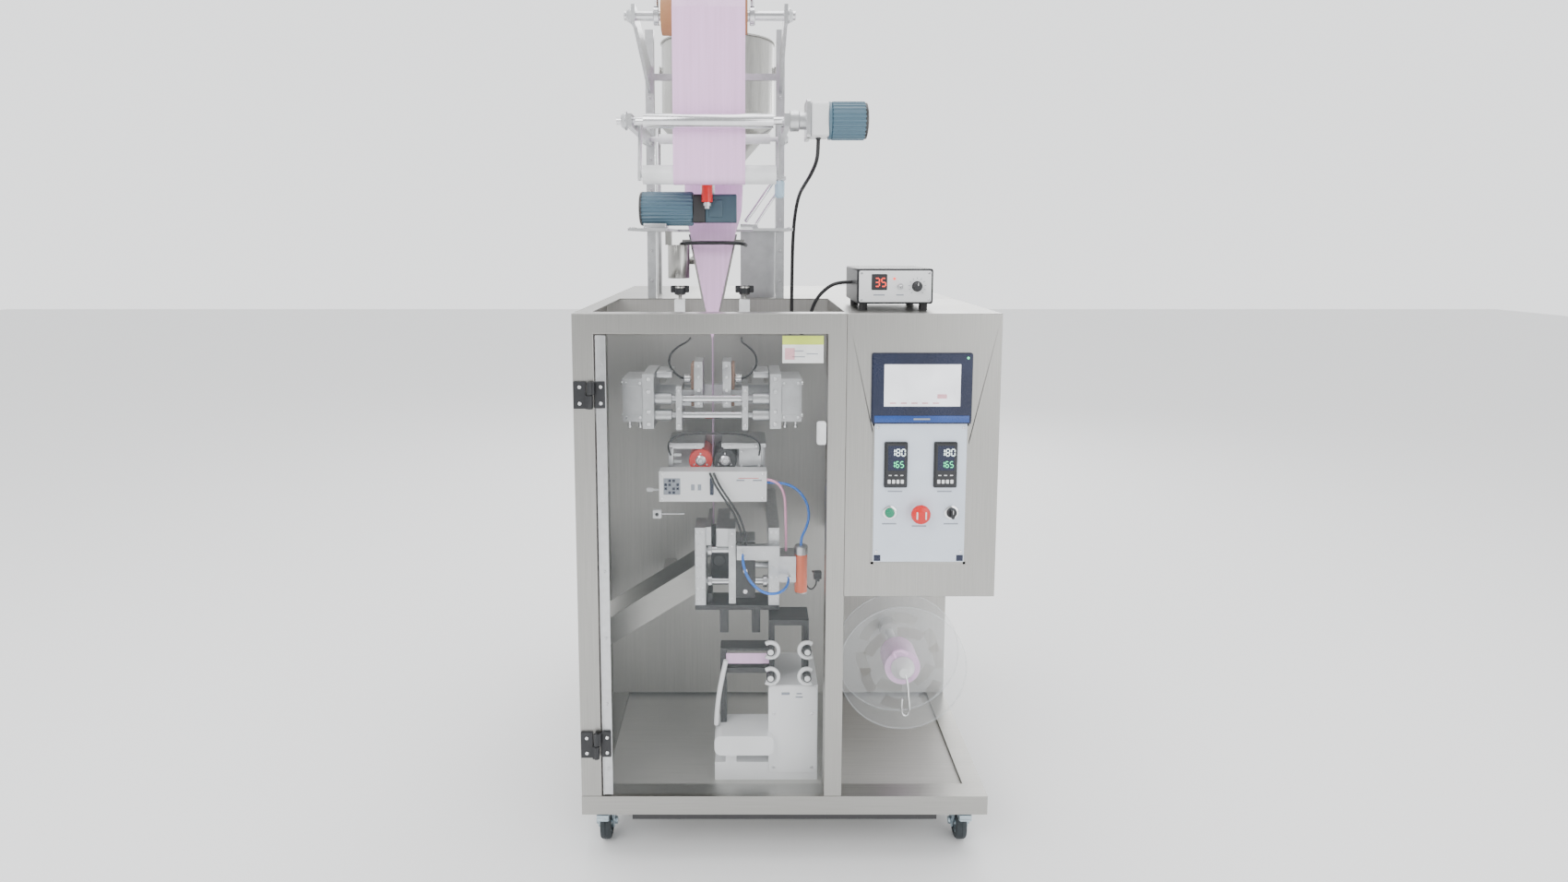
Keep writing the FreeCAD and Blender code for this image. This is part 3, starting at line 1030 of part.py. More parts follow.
def chute():
    """Sloping trough that takes the sachets out through the left side."""
    outside = box(("chute_x - chute_l / 2", "chute_x + chute_l / 2"),
                  ("front + chute_depth", "front + chute_depth + chute_w"), ("chute_z", "chute_z + chute_h"))
    inside = box(("chute_x - chute_l / 2 - 1", "chute_x + chute_l / 2 + 1"),
                 ("front + chute_depth + chute_t", "front + chute_depth + chute_w - chute_t"),
                 ("chute_z + chute_t", "chute_z + chute_h + 1"))
    trough = cut(outside, inside)
    slope = -value("chute_slope")
    node("discharge_chute", turned(trough, FreeCAD.Vector(0, 1, 0), slope, "chute_x", "0", "chute_z"))


def coder():
    """Date coder: plinth, body, lower arm, ribbon frame and rollers."""
    depth = ("front + coder_front", "front + coder_front + coder_d")
    plinth = box(("coder_left", "coder_right"), depth, ("tray_top", "tray_top + coder_base_h"))
    body = box(("coder_body_x", "coder_right"), depth, ("tray_top + coder_base_h", "coder_body_top"))
    arm = rounded(box(("coder_left", "coder_body_x + 10"), ("front + coder_arm_front", "front + coder_front + 70"),
                      ("coder_arm_low", "coder_arm_low + coder_arm_h")), "y", "coder_arm_h / 3")
    leg = box(("coder_left + 24", "coder_left + 48"), ("front + coder_front", "front + coder_front + 50"),
              ("tray_top + coder_base_h", "coder_arm_low"))
    node("coder_body", join(plinth, body, arm, leg))
    frame_y = ("front + coder_front + 20", "front + coder_front + 90")
    uprights = [box((x, f"{x} + coder_bar_t"), frame_y, ("coder_body_top", "coder_top - coder_bar_t"))
                for x in ("coder_body_x", "coder_right - 19 - coder_bar_t")]
    bridge = box(("coder_body_x", "coder_right - 19"), frame_y, ("coder_top - coder_bar_t", "coder_top"))
    arm_y = ("front + coder_front + 36", "front + coder_front + 76")
    upper = box(("coder_left + 26", "coder_body_x"), arm_y,
                ("coder_upper_low", "coder_upper_low + coder_bar_t"))
    lip_low = "coder_upper_low + coder_upper_h"
    upper_top = box(("coder_left + 26", "coder_body_x"), arm_y, (lip_low, f"{lip_low} + coder_lip_t"))
    post = box(("coder_left + 12", "coder_left + 26"), arm_y,
               ("coder_arm_low + coder_arm_h", f"{lip_low} + coder_lip_t"))
    rollers = []
    for x in ("coder_body_x + 2", "coder_right - 25"):
        for z in ("coder_body_top + 28", "coder_body_top + 88"):
            rollers.append(rod("y", (x, z), ("front + coder_front - coder_rod_out", "front + coder_front + 20"),
                               "coder_rod_r"))
    node("coder_frame", together(*uprights, bridge, upper, upper_top, post, *rollers))


def reel():
    """Take-up reel: two clear discs on a hub whose axle turns in the bulkhead's bearing."""
    spot = ("reel_x", "reel_z")
    discs = [rod("y", spot, (f"front + {depth}", f"front + {depth} + reel_t"), "reel_r")
             for depth in ("reel_front", "reel_back")]
    hub = rod("y", spot, ("front + reel_front - 20", "front + reel_back"), "reel_hub_r")
    axle = rod("y", spot, ("front + reel_back", "bulk_y - 6"), "reel_axle_r")
    node("takeup_reel", join(*discs, hub, axle))


def cords():
    """Cables and hoses that hang free between the pieces that hold them."""
    exit_x = "unit_x - unit_w / 2"
    tube("desk_unit_cable", [
        (exit_x, "-330", "1250"), (f"{exit_x} - 26", "-330", "1250"), ("100", "-322", "1240"),
        ("76", "-306", "1214"), ("66", "-280", "1184"), ("62", "-250", "1156"), ("58", "-215", "1132"),
        ("54", "-180", "1120"), ("50", "-140", "1114"), ("47", "-104", "1117"),
        ("47", "bulk_y", "1117")], "cable_r")
    under_gear = "bar_z - gear_r - 4"
    tube("unwind_cable", [
        ("65", "drive_y", under_gear), ("65", "drive_y", "1532"), ("64", "-424", "1506"), ("54", "-388", "1480"),
        ("44", "-342", "1462"), ("36", "-294", "1446"), ("31", "-250", "1418"), ("28", "-212", "1378"),
        ("27", "-184", "1330"), ("27", "-166", "1278"), ("27", "-156", "1224"), ("27", "-150", "1176"),
        ("27", "-138", "1136"), ("27", "-110", "1108"), ("27", "bulk_y", "1108")], "cable_r")
    manifold_face = "front + cut_front - manifold_out"
    ram_face = "front + cut_depth_mid - ram_block_half"
    tube("jaw_hose", [
        ("-91", manifold_face, "652"), ("-91", f"{manifold_face} - 26", "652"), ("-89", "-437", "640"),
        ("-80", "-446", "617"), ("-62", "-448", "595"), ("-38", "-444", "580"), ("-13", "-432", "576"),
        ("5", "-413", "580"), ("12", "-391", "588"), ("12", ram_face, "588")], "hose_r")
    cover_side = "film_x + cover_half + 2"
    filter_top = "filter_low + filter_h"
    tube("loop_hose", [
        (cover_side, "-330", "795"), ("-12", "-330", "795"), ("16", "-331", "790"), ("40", "-334", "774"),
        ("56", "-338", "748"), ("60", "-342", "718"), ("52", "-347", "692"),
        (FILTER_X, "front + filter_depth", f"{filter_top} + 18"),
        (FILTER_X, "front + filter_depth", filter_top)], "hose_r")


def main():
    """Build every sub-part, check it and write it."""
    for build in (base, cabinet, bulkhead, front_door, rear_door, control_box, operator_keys, desk_unit, tower,
                  unwind, rollers, film_web, former, hopper, dosing_pump, vertical_sealer, pull_unit,
                  cross_cutter, chute, coder, reel, cords):
        build()
    doc.recompute()
    faults = [f"{thing.Name}: {thing.State}" for thing in doc.Objects
              if "Invalid" in thing.State or "Error" in thing.State]
    for part in nodes:
        if part.Shape.isNull() or not part.Shape.isValid() or not part.Shape.Solids:
            faults.append(f"{part.Label}: no valid solid")
    if faults:
        raise RuntimeError("\n".join(faults))
    os.makedirs("parts", exist_ok=True)
    for part in nodes:
        part.Shape.exportStep(f"parts/{part.Label}.step")
    print(len(nodes), "sub-parts written")


main()
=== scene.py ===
"""Looks of a vertical form fill sealer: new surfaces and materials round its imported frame."""
import math

import bmesh
import bpy
import numpy as np
from bpy.props import FloatProperty, FloatVectorProperty, IntProperty, PointerProperty
from bpy.types import Operator, Panel, PropertyGroup
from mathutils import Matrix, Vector


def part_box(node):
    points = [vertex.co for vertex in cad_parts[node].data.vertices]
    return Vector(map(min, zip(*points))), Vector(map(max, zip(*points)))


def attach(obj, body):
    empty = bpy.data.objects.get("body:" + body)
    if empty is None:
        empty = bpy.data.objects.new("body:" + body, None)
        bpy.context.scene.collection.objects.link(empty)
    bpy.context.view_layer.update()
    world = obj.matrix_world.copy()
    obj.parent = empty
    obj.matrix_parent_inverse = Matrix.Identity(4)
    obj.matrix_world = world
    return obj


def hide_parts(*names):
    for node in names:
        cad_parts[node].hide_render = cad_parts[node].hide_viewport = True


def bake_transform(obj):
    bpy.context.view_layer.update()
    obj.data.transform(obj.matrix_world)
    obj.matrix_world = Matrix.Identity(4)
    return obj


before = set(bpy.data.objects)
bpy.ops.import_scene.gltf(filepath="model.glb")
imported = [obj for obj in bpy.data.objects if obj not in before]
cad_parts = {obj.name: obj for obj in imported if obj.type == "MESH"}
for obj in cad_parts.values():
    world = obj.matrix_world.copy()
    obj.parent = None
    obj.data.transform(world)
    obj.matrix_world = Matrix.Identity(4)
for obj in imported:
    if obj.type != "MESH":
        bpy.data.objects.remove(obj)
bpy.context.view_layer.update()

bl_info = {
    "name": "Vertical form fill sealer",
    "version": (1, 0, 0),
    "blender": (4, 5, 0),
    "location": "3D View > Sidebar > Sachet machine",
    "description": "Builds the looks of a vertical form fill sealer round its frame",
    "category": "Add Mesh",
}

MM = 0.001
AXES = {"x": 0, "y": 1, "z": 2}
CAMERA_PLACE = (-0.081, -2.25, 1.349)
AXIS_ORDER = {"x": [1, 2, 0], "y": [2, 0, 1], "z": [0, 1, 2]}

# Places shared by several pieces, in millimetres.
MIDDLE = -160                       # middle plane of the film, across the machine
ROLL = (MIDDLE, -350, 1815)         # middle of the film roll
DRIVE_AXIS = (-440, 1585)           # depth and height of the drive roller's axis
PUMP_AXIS = (-310, 1411)            # depth and height of the pump motor's axis
HINGE_LEVELS = (270, 1028)          # heights of the front door's hinges
PANEL_MIDDLE = 276                  # middle of the operator panel
KEY_LEVEL = 782                     # height of the three keys
PULL_LEVEL = 838                    # height of the pull rollers' axes
ROD_LEVELS = (640, 566)             # heights of the cross sealer's guide rods


# ---------------------------------------------------------------- places read from the frame

def corners(node):
    """Lowest and highest corner of a CAD node in millimetres, as arrays."""
    low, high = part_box(node)
    return np.array(low) / MM, np.array(high) / MM


# ---------------------------------------------------------------- surfaces as arrays

def grid(points, wrap=True, caps=True):
    """Faces over rings of points: quads join neighbours, wrap closes each ring, caps fill the end rings."""
    rings, count = points.shape[:2]
    index = np.arange(rings * count).reshape(rings, count)
    beside = np.roll(index, -1, axis=1) if wrap else index[:, 1:]
    here = index if wrap else index[:, :-1]
    quads = np.stack([here[:-1], beside[:-1], beside[1:], here[1:]], axis=-1).reshape(-1, 4).tolist()
    if caps:
        quads += [index[0, ::-1].tolist(), index[-1].tolist()]
    return points.reshape(-1, 3), quads


def corner_arcs(first, last, radius, steps):
    """Angles of a rectangle's four quarter arcs, with the centre that each angle turns about."""
    turn = np.concatenate([np.linspace(quarter, quarter + math.pi / 2, steps + 1)
                           for quarter in np.arange(4) * math.pi / 2])
    centre_u = np.repeat([last[0] - radius, first[0] + radius, first[0] + radius, last[0] - radius],
                         steps + 1)
    centre_v = np.repeat([last[1] - radius, last[1] - radius, first[1] + radius, first[1] + radius],
                         steps + 1)
    return turn, centre_u, centre_v


def block(low, high, edge=0.8, steps=3):
    """Box with rounded edges: corner arcs of radius e cos(a) at heights e (1 - sin(a)) from each end."""
    low, high = np.minimum(low, high).astype(float), np.maximum(low, high).astype(float)
    edge = min(edge, 0.45 * float((high - low).min()))
    rise = np.linspace(math.pi / 2, 0, steps + 1)
    radii = np.concatenate([edge * np.cos(rise), edge * np.cos(rise[::-1])])
    levels = np.concatenate([low[2] + edge * (1 - np.sin(rise)), high[2] - edge * (1 - np.sin(rise[::-1]))])
    turn, centre_x, centre_y = corner_arcs(low, high, edge, steps)
    x = centre_x + radii[:, None] * np.cos(turn)
    y = centre_y + radii[:, None] * np.sin(turn)
    z = np.broadcast_to(levels[:, None], x.shape)
    return grid(np.stack([x, y, z], axis=-1))


def plate(low, high, radius, axis="y", edge=0.6, steps=6):
    """Flat plate along an axis whose outline has large round corners and whose rim is lightly broken."""
    low, high = np.array(low, float), np.array(high, float)
    order = AXIS_ORDER[axis]
    first, last = low[order], high[order]
    turn, centre_u, centre_v = corner_arcs(first, last, radius, steps)
    inset = np.array([edge, 0, 0, edge])
    along = np.array([first[2], first[2] + edge, last[2] - edge, last[2]])
    u = centre_u + (radius - inset[:, None]) * np.cos(turn)
    v = centre_v + (radius - inset[:, None]) * np.sin(turn)
    stacked = np.stack([u, v, np.broadcast_to(along[:, None], u.shape)], axis=-1)
    points = np.empty_like(stacked)
    points[..., order] = stacked
    return grid(points)


def turned(profile, centre, axis, segments=40):
    """Body of revolution: each (along, radius) station is a circle about the axis through centre.

    A profile that ends where it starts makes a ring, which has no caps.
    """
    profile = np.array(profile, float)
    ring = np.allclose(profile[0], profile[-1])
    angle = np.arange(segments) * 2 * math.pi / segments
    u = profile[:, 1, None] * np.cos(angle)
    v = profile[:, 1, None] * np.sin(angle)
    along = np.broadcast_to(profile[:, 0, None], u.shape)
    order = AXIS_ORDER[axis]
    points = np.empty(u.shape + (3,))
    points[..., order] = np.stack([u, v, along], axis=-1)
    return grid(points + np.array(centre, float), caps=not ring)


def roller(centre, axis, half, radius, edge=0.8, segments=40):
    """Round bar with chamfered ends, centred on a point."""
    return turned([(-half, 0), (-half, radius - edge), (-half + edge, radius), (half - edge, radius),
                   (half, radius - edge), (half, 0)], centre, axis, segments)


def screw(place, axis, head=3, tall=2.4, sign=-1):
    """Socket head cap screw: a chamfered head with a round recess, along sign times axis from a face."""
    return turned([(0, head), (sign * tall * 0.85, head), (sign * tall, head * 0.86),
                   (sign * tall, head * 0.55), (sign * tall * 0.35, head * 0.5), (sign * tall * 0.35, 0)],
                  place, axis, 18)


def disc_row(count, centre, axis, reach, start=0.0):
    """Points on a circle of a given reach round a centre, in the plane across the axis."""
    angle = start + np.arange(count) * 2 * math.pi / count
    order = AXIS_ORDER[axis]
    points = np.zeros((count, 3))
    points[:, order[0]] = reach * np.cos(angle)
    points[:, order[1]] = reach * np.sin(angle)
    return points + np.array(centre, float)


def smooth_path(points, per_run=10):
    """Catmull-Rom curve through a route: each run blends its four nearest points by the cubic's weights."""
    points = np.array(points, float)
    padded = np.vstack([2 * points[0] - points[1], points, 2 * points[-1] - points[-2]])
    t = np.linspace(0, 1, per_run, endpoint=False)[:, None, None]
    a, b, c, d = padded[:-3], padded[1:-2], padded[2:-1], padded[3:]
    curve = 0.5 * (2 * b + (c - a) * t + (2 * a - 5 * b + 4 * c - d) * t ** 2
                   + (3 * b - a - 3 * c + d) * t ** 3)
    return np.vstack([curve.transpose(1, 0, 2).reshape(-1, 3), points[-1]])


def wire(route, radius, segments=12, per_run=8, smooth=True):
    """Round wire along a route: circles across the path, whose side vectors come from one fixed guide."""
    path = smooth_path(route, per_run) if smooth else np.array(route, float)
    ahead = np.gradient(path, axis=0)
    ahead /= np.linalg.norm(ahead, axis=1, keepdims=True)
    guide = np.array([0.31, 0.87, 0.38])
    side = np.cross(ahead, guide)
    side /= np.linalg.norm(side, axis=1, keepdims=True)
    up = np.cross(side, ahead)
    angle = np.arange(segments) * 2 * math.pi / segments
    ring = side[:, None] * np.cos(angle)[None, :, None] + up[:, None] * np.sin(angle)[None, :, None]
    return grid(path[:, None] + radius * ring)


def tilted(part, pivot, axis, degrees):
    """A part turned about an axis through a pivot, by the rotation formula of Rodrigues."""
    k = np.zeros(3)
    k[AXES[axis]] = 1
    angle = math.radians(degrees)
    v = part[0] - np.array(pivot, float)
    spun = v * math.cos(angle) + np.cross(k, v) * math.sin(angle) + np.outer(v @ k,
                                                                             k) * (1 - math.cos(angle))
    return spun + np.array(pivot, float), part[1]


def sheet_of(points, thickness):
    """A thin closed shell: a grid of points pushed both ways along its normals, with its rim joined."""
    along = np.gradient(points, axis=0)
    across = np.gradient(points, axis=1)
    normal = np.cross(along, across)
    normal /= np.linalg.norm(normal, axis=-1, keepdims=True)
    top, bottom = points + normal * thickness / 2, points - normal * thickness / 2
    rows, cols = points.shape[:2]
    index = np.arange(rows * cols).reshape(rows, cols)
    low = index + rows * cols
    faces = np.stack([index[:-1, :-1], index[:-1, 1:], index[1:, 1:], index[1:, :-1]],
                     axis=-1).reshape(-1, 4)
    under = np.stack([low[:-1, :-1], low[1:, :-1], low[1:, 1:], low[:-1, 1:]], axis=-1).reshape(-1, 4)
    rims = [np.stack([a[:-1], a[1:], b[1:], b[:-1]], axis=-1)
            for a, b in ((low[0], index[0]), (index[-1], low[-1]), (index[:, 0], low[:, 0]),
                         (low[:, -1], index[:, -1]))]
    return np.vstack([top.reshape(-1, 3), bottom.reshape(-1, 3)]), np.vstack([faces, under] + rims).tolist()


def piece(name, finishes, body, hides=(), crease=32):
    """One object from parts grouped by finish, with doubles merged and normals outward, riding on a body."""
    mesh = bpy.data.meshes.new(name)
    verts, faces, owner = [], [], []
    base = 0
    for number, (finish, parts) in enumerate(finishes.items()):
        mesh.materials.append(MATERIALS[finish])
        for points, quads in parts:
            verts.append(points)
            faces += [[base + corner for corner in quad] for quad in quads]
            owner += [number] * len(quads)
            base += len(points)
    mesh.from_pydata(np.vstack(verts) * MM, [], faces)
    mesh.polygons.foreach_set("material_index", owner)
    built = bmesh.new()
    built.from_mesh(mesh)
    bmesh.ops.remove_doubles(built, verts=built.verts, dist=2e-6)
    bmesh.ops.dissolve_degenerate(built, edges=built.edges, dist=1e-6)
    bmesh.ops.recalc_face_normals(built, faces=built.faces)
    built.to_mesh(mesh)
    built.free()
    mesh.shade_smooth()
    mesh.set_sharp_from_angle(angle=math.radians(crease))
    thing = bpy.data.objects.new(name, mesh)
    bpy.context.scene.collection.objects.link(thing)
    if body:
        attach(thing, body)
    if hides:
        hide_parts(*hides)
    return thing


# ---------------------------------------------------------------- materials

MATERIALS = {}


def finish(name, colour, metallic=0.0, roughness=0.5, **sockets):
    """A Principled material with its constant values on the shader's own sockets."""
    material = bpy.data.materials.new(name)
    material.use_nodes = True
    shader = material.node_tree.nodes["Principled BSDF"]
    shader.inputs["Base Color"].default_value = (*colour, 1)
    shader.inputs["Metallic"].default_value = metallic
    shader.inputs["Roughness"].default_value = roughness
    for socket, number in sockets.items():
        shader.inputs[socket.replace("_", " ")].default_value = number
    MATERIALS[name] = material
    return material


def noise(material, scale, detail=3.0, stretch=(1, 1, 1)):
    """A noise texture on Object coordinates, stretched by a Mapping node; returns its value socket."""
    nodes, links = material.node_tree.nodes, material.node_tree.links
    place = nodes.new("ShaderNodeTexCoord")
    mapping = nodes.new("ShaderNodeMapping")
    mapping.inputs["Scale"].default_value = stretch
    texture = nodes.new("ShaderNodeTexNoise")
    texture.inputs["Scale"].default_value = scale
    texture.inputs["Detail"].default_value = detail
    links.new(place.outputs["Object"], mapping.inputs["Vector"])
    links.new(mapping.outputs["Vector"], texture.inputs["Vector"])
    return texture.outputs["Fac"]


def ramp(material, value, target, low, high, start=0.3, end=0.7):
    """Drives one shader socket from a value through a two-stop ramp."""
    nodes, links = material.node_tree.nodes, material.node_tree.links
    stops = nodes.new("ShaderNodeValToRGB")
    stops.color_ramp.elements[0].position = start
    stops.color_ramp.elements[1].position = end
    for element, colour in zip(stops.color_ramp.elements, (low, high)):
        element.color = (*colour, 1) if isinstance(colour, tuple) else (colour, colour, colour, 1)
    links.new(value, stops.inputs["Fac"])
    links.new(stops.outputs["Color"], nodes["Principled BSDF"].inputs[target])


def bump(material, value, strength, distance=0.001):
    """Adds surface relief from a value."""
    nodes, links = material.node_tree.nodes, material.node_tree.links
    relief = nodes.new("ShaderNodeBump")
    relief.inputs["Strength"].default_value = strength
    relief.inputs["Distance"].default_value = distance
    links.new(value, relief.inputs["Height"])
    links.new(relief.outputs["Normal"], nodes["Principled BSDF"].inputs["Normal"])


def brushed(name, colour, stretch, roughness, metallic=1.0):
    """Rolled and brushed steel: fine long streaks change its tone, roughness and relief."""
    material = finish(name, colour, metallic, roughness, Anisotropic=0.4)
    streaks = noise(material, 1.0, 4.0, stretch)
    clouds = noise(material, 3.1, 3.0)
    dark = tuple(0.86 * c for c in colour)
    ramp(material, streaks, "Base Color", dark, colour, 0.3, 0.66)
    ramp(material, clouds, "Roughness", roughness - 0.05, roughness + 0.09)
    bump(material, streaks, 0.05, 0.0006)
    return material


def painted(name, colour, roughness, relief=0.08, scale=420.0):
    """Sprayed paint with faint orange peel and a little tone drift."""
    material = finish(name, colour, 0.0, roughness, Coat_Weight=0.15, Coat_Roughness=0.25)
    peel = noise(material, scale, 2.0)
    drift = noise(material, 9.0, 3.0)
    ramp(material, drift, "Base Color", tuple(0.9 * c for c in colour), colour)
    ramp(material, peel, "Roughness", roughness - 0.06, roughness + 0.06)
    bump(material, peel, relief, 0.0004)
    return material


def moulded(name, colour, roughness, relief=0.12, scale=900.0, **sockets):
    """Moulded plastic or rubber with a fine spark-eroded grain."""
    material = finish(name, colour, 0.0, roughness, **sockets)
    grain = noise(material, scale, 2.0)
    wear = noise(material, 14.0, 4.0)
    ramp(material, wear, "Base Color", tuple(0.82 * c for c in colour),
         tuple(min(1, 1.12 * c) for c in colour))
    ramp(material, grain, "Roughness", roughness - 0.08, min(1.0, roughness + 0.08))
    bump(material, grain, relief, 0.0003)
    return material


def machined(name, colour, roughness, scale=60.0):
    """Milled aluminium or ground steel: a soft isotropic mottle and light tool marks."""
    material = finish(name, colour, 1.0, roughness)
    mottle = noise(material, scale, 4.0)
    marks = noise(material, 1.0, 2.0, (900, 60, 900))
    ramp(material, mottle, "Base Color", tuple(0.88 * c for c in colour), colour)
    ramp(material, marks, "Roughness", roughness - 0.07, roughness + 0.1)
    bump(material, marks, 0.03, 0.0003)
    return material


def clear(name, colour, alpha, roughness):
    """Clear sheet with faint scuffs in its gloss; it lets light through by its alpha."""
    material = finish(name, colour, 0.0, roughness, Alpha=alpha, IOR=1.49)
    scuffs = noise(material, 30.0, 5.0, (1, 1, 0.3))
    ramp(material, scuffs, "Roughness", roughness, roughness + 0.12, 0.45, 0.75)
    return material


def film_finish(colour, alpha):
    """Pink film: long soft streaks down the web, painted sheen in its colour and real relief in its bump, and
    a soft gloss.
    """
    material = finish("film", colour, 0.0, 0.32, Alpha=alpha, Coat_Weight=0.4, Coat_Roughness=0.15)
    streaks = noise(material, 1.0, 4.0, (140, 25, 4))
    # Painted sheen: the streaks lighten and darken the film's colour as glints along its ripples would
    ramp(material, streaks, "Base Color", tuple(0.93 * c for c in colour),
         tuple(min(1, 1.05 * c) for c in colour))
    bump(material, streaks, 0.07, 0.0008)
    return material


def make_materials(looks):
    """Every finish of the machine."""
    steel = tuple(looks.steel)
    brushed("steel_up", steel, (850, 850, 7), 0.34)
    brushed("steel_across", steel, (7, 850, 850), 0.34)
    # Painted light: lighter, less metallic copies of the brushed steel that brighten the shaded bay wall and
    # floor tray
    brushed("bay_steel_painted_light", tuple(1.3 * c for c in steel), (850, 850, 7), 0.46, 0.6)
    brushed("tray_steel_painted_light", tuple(1.3 * c for c in steel), (7, 850, 850), 0.46, 0.6)
    brushed("steel_round", tuple(1.06 * c for c in steel), (240, 240, 30), 0.26)
    machined("aluminium", (0.66, 0.67, 0.68), 0.34)
    machined("ground_steel", (0.83, 0.83, 0.85), 0.2, 25.0)
    machined("zinc", (0.50, 0.60, 0.66), 0.3, 38.0)
    finish("chrome", (0.86, 0.87, 0.88), 1.0, 0.1)
    ramp(MATERIALS["chrome"], noise(MATERIALS["chrome"], 40.0), "Roughness", 0.07, 0.16)
    painted("white_paint", (0.83, 0.84, 0.85), 0.36)
    painted("cover_white", (0.88, 0.89, 0.90), 0.4)
    painted("motor_paint", tuple(looks.motor), 0.42, 0.14)
    painted("black_paint", (0.028, 0.028, 0.03), 0.45)
    painted("panel_paint", (0.70, 0.77, 0.87), 0.38, 0.04)
    painted("orange_paint", (0.92, 0.16, 0.05), 0.3)
    painted("grey_paint", (0.42, 0.44, 0.45), 0.42)
    moulded("black_plastic", (0.022, 0.023, 0.026), 0.42)
    moulded("navy_plastic", (0.010, 0.016, 0.045), 0.26, 0.05)
    moulded("blue_strip", (0.02, 0.07, 0.28), 0.3, 0.04)
    moulded("white_plastic", (0.86, 0.87, 0.88), 0.35, 0.06)
    moulded("tyre_rubber", (0.025, 0.033, 0.038), 0.62, 0.3, 500.0)
    moulded("dark_rubber", (0.035, 0.035, 0.037), 0.55, 0.3, 600.0)
    moulded("red_silicone", (0.78, 0.035, 0.03), 0.38, 0.1, 400.0, Subsurface_Weight=0.08)
    moulded("red_key", (0.72, 0.02, 0.02), 0.25, 0.04)
    moulded("green_key", (0.01, 0.27, 0.14), 0.25, 0.04)
    moulded("kraft", (0.42, 0.22, 0.10), 0.75, 0.35, 260.0)
    moulded("insulation", (0.34, 0.20, 0.14), 0.6, 0.2, 300.0)
    moulded("black_cable", (0.018, 0.018, 0.02), 0.4, 0.05)
    moulded("blue_hose", (0.015, 0.17, 0.68), 0.22, 0.03)
    moulded("pink_hose", (0.85, 0.38, 0.58), 0.3, 0.03)
    moulded("screen_white", (0.82, 0.84, 0.88), 0.12, 0.0, 900.0, Emission_Color=(0.9, 0.92, 0.97, 1),
            Emission_Strength=0.55)
    moulded("screen_pink", (0.80, 0.45, 0.50), 0.15, 0.0)
    moulded("label_lime", (0.62, 0.76, 0.10), 0.4, 0.02)
    moulded("label_white", (0.86, 0.87, 0.86), 0.4, 0.02)
    moulded("print_grey", (0.30, 0.33, 0.38), 0.45, 0.02)
    finish("digits_red", (0.5, 0.02, 0.01), 0, 0.3, Emission_Color=(1, 0.06, 0.03, 1),
           Emission_Strength=2.5)
    finish("digits_green", (0.03, 0.5, 0.2), 0, 0.3, Emission_Color=(0.1, 1, 0.45, 1),
           Emission_Strength=2.0)
    finish("digits_white", (0.8, 0.9, 0.9), 0, 0.3, Emission_Color=(0.8, 1, 0.95, 1), Emission_Strength=1.6)
    for numerals in ("digits_red", "digits_green", "digits_white"):
        ramp(MATERIALS[numerals], noise(MATERIALS[numerals], 900.0), "Roughness", 0.24, 0.38)
    clear("acrylic", (0.30, 0.33, 0.34), 0.06, 0.04)
    clear("clear_disc", (0.80, 0.84, 0.87), 0.17, 0.06)
    clear("pale_blue_cup", (0.55, 0.78, 0.92), 0.6, 0.1)
    moulded("film_solid", tuple(looks.film), 0.3, 0.05, 300.0)
    painted("motor_dark", tuple(0.55 * c for c in looks.motor), 0.4, 0.14)
    film_finish(tuple(looks.film), looks.film_alpha)


# bulkhead and floor_tray take the lighter steel copies, painted light for the shaded bay
CAD_FINISHES = {"base_frame": "steel_across", "base_subframe": "black_paint", "floor_tray": "tray_steel_painted_light",
                "cabinet_frame": "steel_up", "cabinet_skins": "steel_up", "bulkhead": "bay_steel_painted_light",
                "control_box": "steel_up", "electrics_plate": "grey_paint", "control_panel": "panel_paint",
                "tower_frame": "aluminium", "front_door": "acrylic", "rear_door": "steel_up",
                "discharge_chute": "steel_across", "hopper": "steel_round", "dosing_line": "steel_round",
                "sealer_frame": "aluminium", "pull_frame": "aluminium", "cutter_frame": "aluminium",
                "cutter_jaw": "aluminium", "seal_bar_left": "aluminium", "seal_bar_right": "aluminium",
                "coder_frame": "black_paint", "dancer_arm": "aluminium", "guide_roller": "white_plastic",
                "film_former": "steel_round", "screen_bezel": "navy_plastic",
                "door_hinge_post_leaves": "black_plastic", "desk_unit_shell": "black_paint",
                "drive_roller": "ground_steel", "dancer_roller": "white_plastic",
                "pull_cover": "cover_white", "coder_body": "cover_white", "caster_fork_front_left": "zinc",
                "caster_fork_front_right": "zinc", "caster_fork_rear_left": "zinc",
                "caster_fork_rear_right": "zinc",}
EDGE_WIDTHS = {"front_door": 0.5 * MM, "base_frame": 2.5 * MM, "cabinet_frame": 1.6 * MM,
               "control_box": 1.8 * MM, "tower_frame": 1.2 * MM}


def dress_frame():
    """Finishes on the CAD nodes that show, whose doubles are welded and edges rounded by modifiers."""
    for node, look in CAD_FINISHES.items():
        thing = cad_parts[node]
        if not thing.material_slots:
            thing.data.materials.append(MATERIALS[look])
        for slot in thing.material_slots:
            slot.material = MATERIALS[look]
        weld = thing.modifiers.new("weld", "WELD")
        weld.merge_threshold = 5e-6
        edge = thing.modifiers.new("edges", "BEVEL")
        edge.width = EDGE_WIDTHS.get(node, 0.7 * MM)
        edge.segments = 2
        edge.limit_method = "ANGLE"
        edge.angle_limit = math.radians(50)
        edge.use_clamp_overlap = True
        edge.harden_normals = True


# ---------------------------------------------------------------- stage and cords

